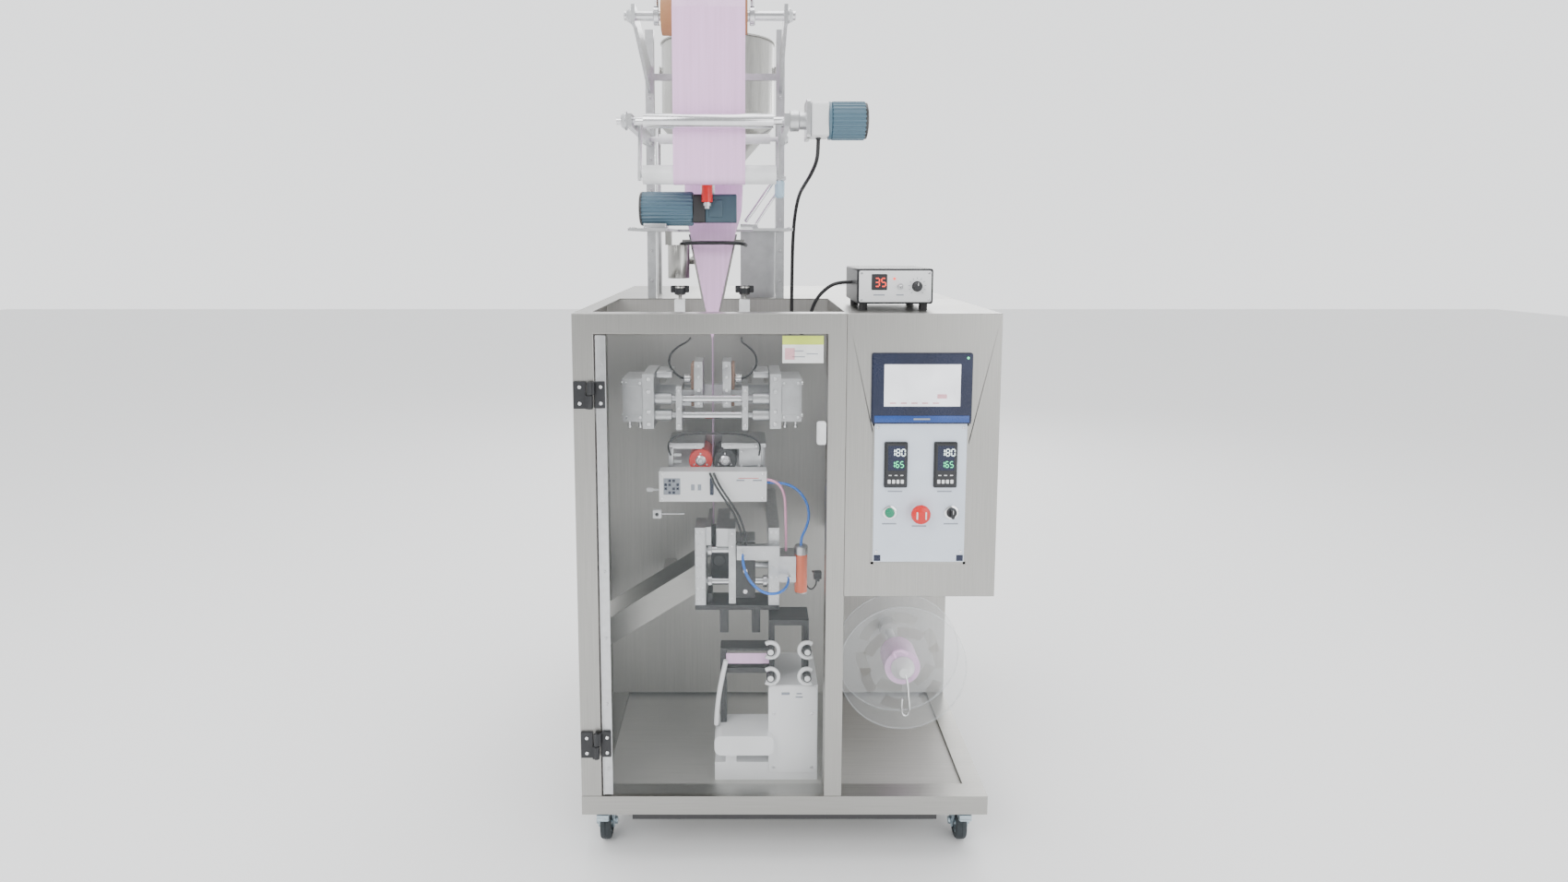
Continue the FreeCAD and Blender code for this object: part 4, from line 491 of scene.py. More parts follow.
def make_stage(stage):
    """Floor, soft lights, pale world and the camera at its standing place in front of the machine."""
    camera_data = bpy.data.cameras.new("camera")
    camera = bpy.data.objects.new("camera", camera_data)
    camera.location = CAMERA_PLACE
    camera.rotation_euler = (math.radians(90 - stage.pitch), 0, 0)
    camera_data.lens = stage.lens
    camera_data.sensor_width = 36
    camera_data.shift_x = stage.shift_x
    camera_data.shift_y = stage.shift_y
    camera_data.dof.use_dof = False
    camera_data.clip_end = 60
    floor_mesh = bpy.data.meshes.new("floor")
    reach = 14
    floor_mesh.from_pydata([(-reach, -reach, 0), (reach, -reach, 0), (reach, reach, 0), (-reach, reach, 0)],
                           [], [(0, 1, 2, 3)])
    floor = bpy.data.objects.new("floor", floor_mesh)
    paper = finish("floor_paper", (0.94, 0.94, 0.94), 0.0, 0.75)
    ramp(paper, noise(paper, 2.0), "Roughness", 0.66, 0.76)
    floor_mesh.materials.append(paper)
    lights = (("key", (-2.3, -3.2, 3.4), 90, 2.4), ("fill", (2.4, -3.4, 1.6), 55, 2.6),
              ("top", (0.2, -0.2, 4.2), 60, 2.6), ("back", (0.6, 3.4, 2.8), 70, 2.4))
    things = [camera, floor]
    for name, place, power, size in lights:
        lamp_data = bpy.data.lights.new(name, "AREA")
        lamp_data.energy = power
        lamp_data.size = size
        lamp = bpy.data.objects.new(name, lamp_data)
        lamp.location = place
        lamp.rotation_euler = (Vector((0, 0, 0.9)) - Vector(place)).to_track_quat("-Z", "Y").to_euler()
        things.append(lamp)
    for thing in things:
        bpy.context.scene.collection.objects.link(thing)
    bpy.context.scene.camera = camera
    world = bpy.data.worlds.new("studio")
    world.use_nodes = True
    world.node_tree.nodes["Background"].inputs["Color"].default_value = (0.93, 0.94, 0.95, 1)
    nodes, links = world.node_tree.nodes, world.node_tree.links
    place = nodes.new("ShaderNodeTexCoord")
    parts = nodes.new("ShaderNodeSeparateXYZ")
    fade = nodes.new("ShaderNodeMapRange")
    fade.inputs["From Min"].default_value = -0.9
    fade.inputs["From Max"].default_value = 0.5
    fade.inputs["To Min"].default_value = 0.34 * stage.daylight
    fade.inputs["To Max"].default_value = stage.daylight
    links.new(place.outputs["Generated"], parts.inputs["Vector"])
    links.new(parts.outputs["Y"], fade.inputs["Value"])
    links.new(fade.outputs["Result"], nodes["Background"].inputs["Strength"])
    bpy.context.scene.world = world


def cord(name, route_mm, diameter, look, body, hides=()):
    """A free cord: a NURBS curve whose control points are the route's, in metres, with a round bevel."""
    curve = bpy.data.curves.new(name, "CURVE")
    curve.dimensions = "3D"
    curve.bevel_depth = diameter / 2
    curve.bevel_resolution = 4
    curve.resolution_u = 6
    curve.use_fill_caps = True
    spline = curve.splines.new("NURBS")
    points = np.array(route_mm, float) * MM
    spline.points.add(len(points) - 1)
    spline.points.foreach_set("co", np.column_stack([points, np.ones(len(points))]).ravel())
    spline.order_u = 3
    spline.use_endpoint_u = True
    thing = bpy.data.objects.new(name, curve)
    curve.materials.append(MATERIALS[look])
    bpy.context.scene.collection.objects.link(thing)
    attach(thing, body)
    if hides:
        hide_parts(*hides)
    return thing


def make_cords():
    """Every cable and hose that hangs free, on the routes that the CAD tubes follow where they have one."""
    cord("desk_unit_lead", [
        (150, -330, 1250), (124, -330, 1250), (100, -322, 1240), (76, -306, 1214), (66, -280, 1184),
        (62, -250, 1156), (58, -215, 1132), (54, -180, 1120), (50, -140, 1114), (47, -104, 1117),
        (47, -70, 1117)], 0.008, "black_cable", "cabinet", ["desk_unit_cable"])
    cord("motor_lead", [
        (65, -440, 1555), (65, -440, 1532), (64, -424, 1506), (54, -388, 1480), (44, -342, 1462),
        (36, -294, 1446), (31, -250, 1418), (28, -212, 1378), (27, -184, 1330), (27, -166, 1278),
        (27, -156, 1224), (27, -150, 1176), (27, -138, 1136), (27, -110, 1108), (27, -70, 1108)],
        0.008, "black_cable", "cabinet", ["unwind_cable"])
    cord("jaw_air_hose", [
        (-91, -392, 652), (-91, -418, 652), (-89, -437, 640), (-80, -446, 617), (-62, -448, 595),
        (-38, -444, 580), (-13, -432, 576), (5, -413, 580), (12, -391, 588), (12, -365, 588)],
        0.006, "blue_hose", "cabinet", ["jaw_hose"])
    cord("loop_air_hose", [
        (-37, -330, 795), (-12, -330, 795), (16, -331, 790), (40, -334, 774), (56, -338, 748),
        (60, -342, 718), (52, -347, 692), (41, -350, 673), (41, -350, 655)],
        0.006, "blue_hose", "cabinet", ["loop_hose"])
    for side, hand in ((-1, "left"), (1, "right")):
        loop = [(42, -255, 1015), (64, -262, 1020), (88, -268, 1034), (103, -269, 1058), (98, -268, 1082),
                (82, -250, 1096), (70, -215, 1099), (66, -170, 1098), (65, -120, 1096), (65, -70, 1095)]
        cord(f"heater_lead_{hand}", [(MIDDLE + side * across, y, z) for across, y, z in loop], 0.005,
             "black_cable", f"seal_{hand}")
    cord("arched_lead", [
        (-256, -306, 852), (-262, -318, 870), (-258, -322, 890), (-236, -322, 902), (-204, -322, 906),
        (-160, -322, 906), (-110, -322, 906), (-80, -322, 902), (-56, -322, 890), (-50, -318, 870),
        (-54, -306, 852)], 0.004, "black_cable", "cabinet")
    for step in (0, 9):
        cord("sensor_lead_upper" if step else "sensor_lead_lower",
             [(-165 + step, -355, 824), (-158 + step, -362, 808), (-145 + step, -368, 788),
              (-128 + step, -372, 764), (-110 + step, -378, 738), (-98 + step, -383, 708),
              (-92 + step, -386, 684), (-90 + step, -386, 664)], 0.005, "black_cable", "cabinet")
    cord("air_pipe", [
        (-37, -345, 806), (-22, -352, 806), (-6, -358, 796), (3, -361, 774), (5, -360, 744), (6, -356, 710),
        (7, -350, 674), (7, -342, 640)], 0.006, "pink_hose", "cabinet")
    cord("eye_lead", [(66, -370, 602), (72, -362, 593), (77, -345, 577), (80, -310, 548), (79, -260, 518),
                      (77, -205, 490), (74, -150, 470), (71, -105, 460), (70, -70, 458)], 0.004,
         "black_cable", "cabinet")


# ---------------------------------------------------------------- cabinet, panel and casters

def lozenge(centre_x, centre_z, y, wide, tall, edge=0.15, thick=0.5):
    """A printed patch on a front face: a thin plate centred on a point."""
    return block((centre_x - wide / 2, y - thick, centre_z - tall / 2),
                 (centre_x + wide / 2, y, centre_z + tall / 2), edge)


def seven(text, left, low, y, tall):
    """Seven-segment numerals: each lights some of seven bars on a box half as wide as it is tall."""
    wide, bar = tall * 0.5, tall * 0.13
    bars = {"a": (0, tall, wide, 0), "g": (0, tall / 2, wide, 0), "d": (0, 0, wide, 0),
            "f": (0, tall / 2, 0, tall / 2), "b": (wide, tall / 2, 0, tall / 2), "e": (0, 0, 0, tall / 2),
            "c": (wide, 0, 0, tall / 2)}
    lit = {"0": "abcdef", "1": "bc", "2": "abged", "3": "abgcd", "5": "afgcd",
           "6": "afgecd", "8": "abcdefg"}
    parts = []
    for place, numeral in enumerate(text):
        start = left + place * tall * 0.78
        for key in lit[numeral]:
            x, z, across, up = bars[key]
            parts.append(block((start + x - bar / 2 + (bar if across else 0), y - 0.3,
                                low + z - bar / 2 + (bar if up else 0)),
                               (start + x + across + bar / 2 - (bar if across else 0), y,
                                low + z + up + bar / 2 - (bar if up else 0)), 0.1, 1))
    return parts


def make_door():
    """Edge strip, label, hinge leaves with screws and the grip on the clear door."""
    low, high = corners("front_door")
    face = low[1]
    strip = [block((low[0], face - 2, low[2]), (low[0] + 21, face, high[2]), 0.7),
             block((low[0], face - 3.2, low[2]), (low[0] + 3, face, high[2]), 0.6),
             block((low[0], high[1], low[2]), (low[0] + 18, high[1] + 2, high[2]), 0.6)]
    lines = [lozenge(24 + 28 * (row % 2), 1106 + 6 * row, face - 0.6, 26 - 3 * row, 1.6)
             for row in range(3)]
    piece("door_trim", {
        "aluminium": strip + [screw((low[0] + 12, face - 2, z), "y", 3)
                              for z in np.linspace(low[2] + 60, high[2] - 60, 7)],
        "label_white": [block((-9, face - 0.7, 1093), (75, face, 1149), 0.2)],
        "label_lime": [block((-9, face - 1.0, 1131), (75, face - 0.5, 1149), 0.2)],
        "screen_pink": [lozenge(6, 1112, face - 0.6, 20, 24)],
        "print_grey": lines}, "front_door")
    fit_low, fit_high = corners("door_fittings")
    leaves, screws = [], []
    for level in HINGE_LEVELS:
        leaves += [block((-393.5, -504, level - 28), (-372, -498, level + 28), 1.6),
                   block((-402, -511, level + 1), (-392, -505, level + 28), 1.2),
                   turned([(0.6, 0), (0.6, 5), (1.6, 6), (27, 6), (28, 5), (28, 0)],
                          (-402, -508, level), "z", 28)]
        screws += [screw((-380, -504, level + off), "y", 3.6) for off in (-17, 17)]
    piece("door_leaves", {"black_plastic": leaves, "chrome": screws}, "front_door")
    grip = [plate((fit_high[0] - 19, -510, 925), (fit_high[0], -496, 973), 5, "y", 2.5),
            plate((fit_high[0] - 15, -512, 935), (fit_high[0] - 4, -509, 963), 3, "y", 1)]
    piece("door_grip", {"white_plastic": grip}, "front_door", ["door_fittings"])
    post = [screw((-423, -506, level + off), "y", 3.6) for level in HINGE_LEVELS for off in (-17, 17)]
    piece("post_leaf_screws", {"chrome": post}, "cabinet")


def make_rear():
    """Louvres, latch and screws of the rear door, and the fixed rebate and seams round it."""
    low, high = corners("rear_door")
    across = np.linspace(-117, 117, 25)
    hood = np.linspace(0, math.pi / 2, 7)
    blades = []
    for index in range(12):
        base = 320 + 24 * index
        fade = 1 - (np.abs(across) / 117) ** 8
        y = 503 + 7 * np.sin(hood)[:, None] * fade
        z = base + 11 * np.cos(hood)[:, None] - 1 + 0 * across
        blades.append(sheet_of(np.stack([np.broadcast_to(across, y.shape), y, np.broadcast_to(z, y.shape)],
                                        -1), 1.2))
    ends = [screw((x, 503, z), "y", 4, 2.4, 1) for x in (low[0] + 22, 336) for z in (225, 675, 1128)]
    piece("rear_louvres", {"steel_up": blades}, "rear_door")
    piece("rear_latch", {
        "chrome": ends + [turned([(0, 17.5), (4, 17.5), (5, 16), (27, 14.5), (28.5, 12), (28.5, 0)],
                                 (310, 501, 675), "y", 36)],
        "black_plastic": [block((307, 529.2, 667), (313, 530, 683), 0.4)]}, "rear_door")
    seams = [block((-436, 499.5, z), (436, 501.2, z + 1.2), 0.3) for z in (152, 1188)]
    rebate = [block((side * 337, 486, 158), (side * 412, 492, 1188), 1) for side in (-1, 1)]
    rebate += [block((-412, 485, first), (412, 491, last), 1) for first, last in ((156, 222), (1132, 1188))]
    piece("rear_rebate", {"steel_up": rebate}, "cabinet")
    piece("rear_seams", {"steel_across": seams}, "cabinet")


def make_panel():
    """Screen, controllers, rings, plates and printed marks of the operator panel."""
    low, high = corners("touch_screen")
    face = low[1]
    width, tall = high[0] - low[0], high[2] - low[2]
    ui = [lozenge(low[0] + 0.76 * width, low[2] + 0.24 * tall, face, 20, 9, 0.1, 0.2)]
    ui += [lozenge(low[0] + share * width, low[2] + 0.08 * tall, face, 13, 3, 0.1, 0.2)
           for share in (0.12, 0.26, 0.40, 0.54, 0.68)]
    piece("screen_glass", {"screen_white": [block(low, high, 0.3)], "screen_pink": ui}, "cabinet",
          ["touch_screen"])
    bezel_low, bezel_high = corners("screen_bezel")
    piece("bezel_trim", {
        "blue_strip": [block((bezel_low[0] + 4, bezel_low[1] - 0.7, bezel_low[2] + 3),
                             (bezel_high[0] - 4, bezel_low[1], bezel_low[2] + 17), 0.3)],
        "print_grey": [lozenge(276, bezel_low[2] + 10, bezel_low[1] - 0.6, 34, 3.4)],
        "digits_green": [turned([(0, 2.6), (-0.8, 2.2), (-0.8, 0)],
                                (bezel_high[0] - 9, bezel_low[1], bezel_high[2] - 8), "y", 16)],
        "navy_plastic": [plate((bezel_low[0] - 2, bezel_low[1] + 4, bezel_low[2] + 1),
                               (bezel_high[0] + 2, -499.9, bezel_high[2] + 2), 5, "y", 1.2)]},
        "cabinet")
    plates, lenses, digits, whites, buttons = [], [], [], [], []
    for centre in (225, 327):
        plates.append(plate((centre - 24, -508, 835), (centre + 24, -503, 931), 3, "y", 1.2))
        plates.append(plate((centre - 21, -511, 838), (centre + 21, -507, 928), 2.5, "y", 1.4))
        lenses.append(plate((centre - 17, -511.5, 872), (centre + 17, -510.8, 924), 1.5, "y", 0.3))
        whites += seven("180", centre - 11, 903, -511.5, 14)
        digits += seven("165", centre - 10, 879, -511.5, 12)
        buttons += [plate((centre - 17 + 9 * n, -512.4, 845), (centre - 11 + 9 * n, -510.8, 853), 1, "y",
                          0.4) for n in range(4)]
        buttons += [lozenge(centre - 12 + 12 * n, 862, -510.9, 6, 1.8) for n in range(3)]
    piece("temperature_meters", {
        "black_plastic": plates,
        "navy_plastic": lenses,
        "digits_green": digits,
        "digits_white": whites,
        "white_plastic": buttons}, "cabinet", ["temperature_controllers"])
    face = -503
    rings = [turned([(0, 15.5), (-2, 15.5), (-3.8, 14.6), (-4.8, 12.4), (-4.8, 10.8), (0, 10.8), (0, 15.5)],
                    (PANEL_MIDDLE + off, face, KEY_LEVEL), "y", 40) for off in (-62, 0, 66)]
    marks = [lozenge(PANEL_MIDDLE + off, z, face, 30, 3, 0.1, 0.25)
             for off, z in ((-51, 826), (51, 826), (-62, 757), (66, 757), (0, 752))]
    surround = [block((x, -501.4, 669), (x + 6, -500, 969), 0.4) for x in (177, 369)]
    surround += [block((177, -501.4, z), (375, -500, z + 6), 0.4) for z in (669, 963)]
    corners_dark = [block((x, face - 0.5, 677), (x + 14, face, 690), 0.2) for x in (183, 355)]
    piece("panel_marks", {
        "chrome": rings + [screw((x, face, z), "y", 3) for x in (188, 364) for z in (697, 960)],
        "print_grey": marks,
        "navy_plastic": corners_dark,
        "steel_across": surround}, "cabinet")


def make_keys():
    """Green start key, red mushroom and black selector, each on its own body."""
    piece("start_cap", {
        "green_key": [turned([(-12.6, 0), (-12.6, 6.5), (-11.6, 9), (-9.5, 10), (14, 10), (14, 0)],
                             (PANEL_MIDDLE - 62, -499, KEY_LEVEL), "y", 36)],
        "chrome": [turned([(-8.4, 10.05), (-8.4, 10.35), (-5, 10.35), (-5, 10.05)],
                          (PANEL_MIDDLE - 62, -499, KEY_LEVEL), "y", 36)]}, "start_button",
        ["start_key"])
    piece("stop_cap", {
        "red_key": [turned([(-30, 0), (-30, 8), (-29, 14), (-26.5, 18.2), (-23, 20), (-20, 20), (-18, 18.5),
                            (-17.5, 12), (-17, 10), (15, 10), (15, 0)],
                           (PANEL_MIDDLE, -499, KEY_LEVEL), "y", 44)],
        "white_plastic": [plate((PANEL_MIDDLE - 1.4 + 9 * side, -529.6, 774),
                                (PANEL_MIDDLE + 1.4 + 9 * side, -528, 790), 1.3, "y", 0.3)
                          for side in (-1, 1)]}, "emergency_stop", ["stop_mushroom"])
    piece("selector_cap", {
        "black_plastic": [turned([(-15, 0), (-15, 8.5), (-14, 9.6), (-13, 10), (15, 10), (15, 0)],
                                 (PANEL_MIDDLE + 66, -499, KEY_LEVEL), "y", 36),
                          plate((338.5, -523, 772.5), (345.5, -511, 791.5), 3, "y", 1.2)],
        "label_white": [block((341.4, -523.4, 783), (342.6, -522.8, 791), 0.15)]}, "selector",
        ["selector_knob"])


def make_desk_unit():
    """White face, two-numeral display, fluted dial and toggle of the controller on the box."""
    face = -430
    glow = seven("35", 188, 1246, face - 1.4, 17)
    screws = [screw((x, face - 0.8, z), "y", 2.6, 1.8) for x in (159, 301) for z in (1218, 1274)]
    ticks = []
    for angle in np.linspace(-140, 140, 11):
        ticks.append(tilted(block((275.5, face - 1.2, 1261.5), (276.5, face - 0.6, 1265), 0.1, 1),
                            (276, face, 1246), "y", angle))
    piece("desk_unit_face", {
        "white_paint": [plate((154, face - 0.9, 1213), (306, face + 2, 1279), 4, "y", 0.4)],
        "black_plastic": [plate((180, face - 1.4, 1238), (213, face - 0.6, 1272), 2, "y", 0.3),
                          plate((150, face + 1, 1209.4), (310, face + 6, 1283), 5, "y", 1.4)],
        "digits_red": glow + [turned([(0, 2.6), (-2, 2.2), (-2, 0)], (228, face - 0.8, 1262), "y", 16)],
        "chrome": screws + [turned([(0, 7.2), (-1.5, 7.2), (-3, 6.2), (-3, 5.6), (0, 5.6), (0, 7.2)],
                                   (240, face - 0.8, 1246), "y", 24)],
        "print_grey": ticks + [lozenge(196, 1228, face - 0.8, 24, 2.4),
                               lozenge(240, 1228, face - 0.8, 16, 2.2)]}, "cabinet")
    angle = np.arange(72) * 2 * math.pi / 72
    flute = 1 - 0.055 * (np.cos(angle * 18) > 0)
    stations = np.array([(0, 11), (-2, 11), (-2.4, 9.6), (-12.5, 8.8), (-13.8, 7.8), (-13.8, 0)])
    radius = stations[:, 1, None] * np.where((stations[:, 0] < -2.2)[:, None], flute, 1)
    points = np.stack([276 + radius * np.sin(angle), -430.4 + stations[:, 0, None] + 0 * radius,
                       1246 + radius * np.cos(angle)], -1)
    piece("desk_dial", {
        "black_plastic": [grid(points)],
        "label_white": [block((275.4, -444.6, 1248), (276.6, -444, 1254), 0.1)]}, "unit_dial",
        ["desk_unit_dial"])
    piece("desk_toggle", {
        "chrome": [turned([(-16, 0), (-16, 2), (-14.6, 2.9), (-12, 2.6), (-5, 1.7), (-2.6, 1.9), (-2.6, 0)],
                          (240, face, 1246), "y", 20),
                   roller((240, face - 4, 1246), "x", 3.2, 2.4, 0.6, 20)]}, "unit_toggle",
        ["desk_unit_toggle"])


def make_casters():
    """Treaded wheels, axle nuts, cheek plates, swivel raceways and pad bolts of the four casters."""
    for name, side, end in (("front_left", -1, -1), ("front_right", 1, -1), ("rear_left", -1, 1),
                            ("rear_right", 1, 1)):
        x, y, z = side * 397, end * 440 + 22, 37.5
        tyre = turned([(-12, 26), (-12, 31), (-11, 35), (-8, 37), (-1.5, 37.5), (-0.8, 36.6), (0.8, 36.6),
                       (1.5, 37.5), (8, 37), (11, 35), (12, 31), (12, 26), (10, 25), (-10, 25), (-12, 26)],
                      (x, y, z), "x", 56)
        hub = turned([(-10, 5.6), (-10, 9), (-7, 11), (-6, 22), (-10, 24), (-10, 26), (10, 26), (10, 24),
                      (6, 22), (7, 11), (10, 9), (10, 5.6), (-10, 5.6)], (x, y, z), "x", 40)
        piece(f"wheel_{name}_look", {"tyre_rubber": [tyre], "zinc": [hub]}, f"wheel_{name}",
              [f"caster_wheel_{name}"])
        nuts = [turned([(0, 8), (sign * 4, 8), (sign * 5, 6.8), (sign * 5, 0)], (x + sign * 19, y, z), "x", 6)
                for sign in (-1, 1)]
        ball = [turned([(0, 30), (-2, 31), (-5, 31), (-7, 28), (-7, 0)], (x, y - 22, 101), "z", 44)]
        cheeks = [plate((x + sign * 17.6 - 0.7, y - 13, 28), (x + sign * 17.6 + 0.7, y + 13, 60), 6, "x", 0.4)
                  for sign in (-1, 1)]
        if end < 0:
            ball.append(plate((x - 14, y - 64, 78), (x + 14, y - 34, 84), 4, "z", 1.2))
        piece(f"fork_{name}_look", {"zinc": nuts + ball + cheeks}, f"caster_{name}")
        pads = [screw((x + across * 29, y - 22 + along * 29, 102), "z", 5, 4, -1)
                for across in (-1, 1) for along in (-1, 1)]
        piece(f"pad_bolts_{name}", {"zinc": pads}, "cabinet")


# ---------------------------------------------------------------- tower

def ribbed(centre, first, last, radius, ribs, depth=2.2):
    """A cooling body along X: the radius falls by a rounded square wave round the axis."""
    angle = np.arange(ribs * 8) * 2 * math.pi / (ribs * 8)
    wave = radius - depth * (0.5 + 0.5 * np.tanh(3.5 * np.cos(angle * ribs)))
    share = np.array([0, 0.93, 1, 1, 0.93, 0])
    along = np.array([first, first, first + 3, last - 3, last, last])
    reach = share[:, None] * wave
    points = np.stack([along[:, None] + 0 * reach, centre[0] + reach * np.cos(angle),
                       centre[1] + reach * np.sin(angle)], -1)
    return grid(points)


def make_unwind():
    """Roll of film with wound edges, kraft core, shaft, collars and their knobs."""
    steps = np.linspace(38, 73.4, 60)
    wobble = 0.22 * (np.arange(60) % 2)
    left = np.column_stack([-75 + wobble, steps])
    right = np.column_stack([75 - wobble, steps])[::-1]
    roll = turned(np.vstack([left, right, left[:1]]), ROLL, "x", 96)
    core = turned([(-102, 36.2), (-102, 39), (-101, 40), (-76, 40.5), (-74, 38), (74, 38), (80, 38),
                   (80, 36.2), (-102, 36.2)], ROLL, "x", 64)
    piece("film_reel", {"film_solid": [roll], "kraft": [core]}, "unwind", ["film_roll"])
    shaft = [roller(ROLL, "x", 182, 10, 1.2)]
    for side in (-1, 1):
        shaft.append(turned([(side * 60, 35), (side * 76, 35.5), (side * 79, 33), (side * 79, 12),
                             (side * 86, 12), (side * 86, 10)], ROLL, "x", 48))
    knobs = []
    for x in (-273, -70):
        shaft.append(turned([(-6, 10), (-6, 18.6), (-4.8, 20), (4.8, 20), (6, 18.6), (6, 10), (-6, 10)],
                            (x, -350, 1815), "x", 44))
        shaft.append(turned([(16, 4), (39, 4), (39, 7), (41, 7), (41, 0)], (x, -350, 1815), "z", 20))
        knobs.append(turned([(38, 0), (38, 6), (40, 10), (45, 12), (51, 12), (54.5, 9.5), (56, 4.5),
                             (56, 0)], (x, -350, 1815), "z", 32))
    piece("unwind_shaft_look", {"ground_steel": shaft, "black_plastic": knobs}, "unwind",
          ["unwind_shaft"])


def make_tower(ribs):
    """Bearing housings, bar screws, hopper bead, both motors and the fittings round the former."""
    housings, bolts = [], []
    for side in (-1, 1):
        x = MIDDLE + side * 161
        for y, z, reach in ((-440, 1585, 19), (-108, 1585, 15), (-350, 1815, 17)):
            first = x + side * (6 if y != -350 else 4)
            housings.append(turned([(0, reach), (side * 3, reach), (side * 4, reach - 1.4),
                                    (side * 9, reach * 0.72), (side * 11, reach * 0.66), (side * 11, 10.4),
                                    (0, 10.4), (0, reach)], (first, y, z), "x", 40))
            bolts += [screw(p, "x", 2.6, 2.4, side)
                      for p in disc_row(4, (first + side * 3.4, y, z), "x", reach * 0.82, math.pi / 4)]
        for y in (-400, -330, -250, -170):
            bolts.append(screw((x + side * 6, y, 1585), "x", 3.4, 2.6, side))
        for z in np.arange(1240, 1840, 75):
            bolts.append(screw((x, -67.6, z), "y", 3.2, 2.2))
        bolts += [screw((x + side * 9, -385 + 40 * n, 1368), "z", 3.4, 2.4, 1) for n in range(3)]
    piece("bearing_housings", {"aluminium": housings, "ground_steel": bolts}, "cabinet")
    bead = [turned([(-3, 150), (-3, 152.6), (-1.2, 153.6), (1, 152.8), (1.6, 150.4), (1, 147.2), (-2, 147),
                    (-3, 150)], (MIDDLE, 140, 1861), "z", 96),
            turned([(0, 150), (0, 151.2), (3, 151.2), (3, 150), (0, 150)], (MIDDLE, 140, 1642), "z", 96)]
    ears = [block((MIDDLE + side * 151, 120, 1780), (MIDDLE + side * 156, 160, 1800), 1.5)
            for side in (-1, 1)]
    piece("hopper_bead", {"steel_round": bead + ears}, "cabinet")
    motor = [ribbed(DRIVE_AXIS, 90, 160, 39, ribs),
             turned([(0, 0), (0, 36), (1, 38.4), (6, 38.4), (6, 0)], (84, *DRIVE_AXIS), "x", 48)]
    cap = [turned([(158, 0), (158, 37.5), (163, 36), (165, 30), (165, 0)], (0, *DRIVE_AXIS), "x", 48)]
    gear = [plate((48, -474, 1551), (84, -406, 1619), 7, "x", 1.6)]
    flange = [plate((38, -479, 1546), (47, -401, 1624), 9, "x", 1.2),
              turned([(7, 20), (7, 22), (24, 22), (26, 18), (38, 18), (38, 0), (7, 0), (7, 20)],
                     (0, *DRIVE_AXIS), "x", 40)]
    frame_bolts = [screw((47, DRIVE_AXIS[0] + across * 31, DRIVE_AXIS[1] + up * 31), "x", 4, 3, -1)
                   for across in (-1, 1) for up in (-1, 1)]
    gland = [turned([(-12, 0), (-12, 5.4), (-3, 6.4), (-2, 8), (6, 8), (6, 0)], (65, -440, 1560), "z", 20)]
    piece("unwind_motor_look", {
        "motor_paint": motor,
        "black_paint": cap,
        "white_paint": gear,
        "aluminium": flange + frame_bolts,
        "black_plastic": gland}, "cabinet", ["unwind_motor"])
    pump = [ribbed(PUMP_AXIS, -316, -200, 37.5, ribs)]
    dark = [turned([(-318, 0), (-318, 33), (-316, 36.5), (-312, 37.8), (-312, 0)],
                   (0, *PUMP_AXIS), "x", 48),
            plate((-200, -341, 1380), (-172, -279, 1442), 6, "x", 1.6)]
    head = [plate((-172, -341, 1380), (-104, -279, 1442), 6, "x", 1.6),
            block((-165, -343, 1392), (-135, -277, 1430), 2)]
    foot = [block((-308, -340, 1368), (-258, -280, 1379), 1.5)]
    pot = [turned([(0, 11), (1, 12), (40, 12), (42, 10), (42, 0), (0, 0)], (-168, -350, 1424), "z", 32)]
    neck = [turned([(-14, 0), (-14, 6), (-8, 6), (-8, 9), (-2, 9), (-2, 7), (0, 7), (0, 0)],
                   (-168, -350, 1424), "z", 28),
            turned([(31, 0), (31, 14), (34, 15), (54, 15), (56, 13), (56, 0)], (-168, *PUMP_AXIS), "z", 32)]
    piece("pump_look", {
        "motor_paint": pump,
        "black_paint": dark,
        "motor_dark": head,
        "aluminium": foot + neck,
        "red_key": pot}, "cabinet", ["pump_drive"])
    struts = [wire([(-84, -296, 1384), (-60, -280, 1418), (-20, -264, 1476)], 4.2, 14, 4),
              wire([(-62, -290, 1376), (-40, -276, 1410), (-8, -262, 1456)], 3.2, 14, 4),
              block((-24, -272, 1470), (-4, -248, 1482), 1.5),
              block((-96, -306, 1368), (-56, -282, 1378), 1.5)]
    cup = [turned([(0, 0), (0, 7), (4, 11), (34, 12), (38, 10), (40, 0)], (-8, -278, 1436), "z", 28)]
    piece("pump_stays", {
        "ground_steel": struts,
        "pale_blue_cup": cup,
        "aluminium": [block((-22, -290, 1476), (6, -250, 1484), 1.2)]}, "cabinet")
    wings, posts = [], []
    for side in (-1, 1):
        x = MIDDLE + side * 73
        wings.append(turned([(-10.5, 0), (-10.5, 8), (-8, 12.6), (5, 12.6), (9, 10), (10.5, 5), (10.5, 0)],
                            (x, -289, 1229), "z", 20))
        wings += [tilted(plate((x - 21, -292, 1224), (x - 6, -286, 1240), 2.6, "y", 1), (x, -289, 1229),
                         "z", angle) for angle in (0, 180)]
        posts.append(block((x - 12, -301, 1150), (x + 12, -299.5, 1209), 1))
    hoop = [wire([(-236, -214, 1330), (-228, -262, 1334), (-196, -282, 1336), (MIDDLE, -288, 1336),
                  (-124, -282, 1336), (-92, -262, 1334), (-84, -214, 1330)], 4.2, 12, 6)]
    piece("former_fittings", {"black_plastic": wings + hoop, "white_plastic": posts}, "cabinet")


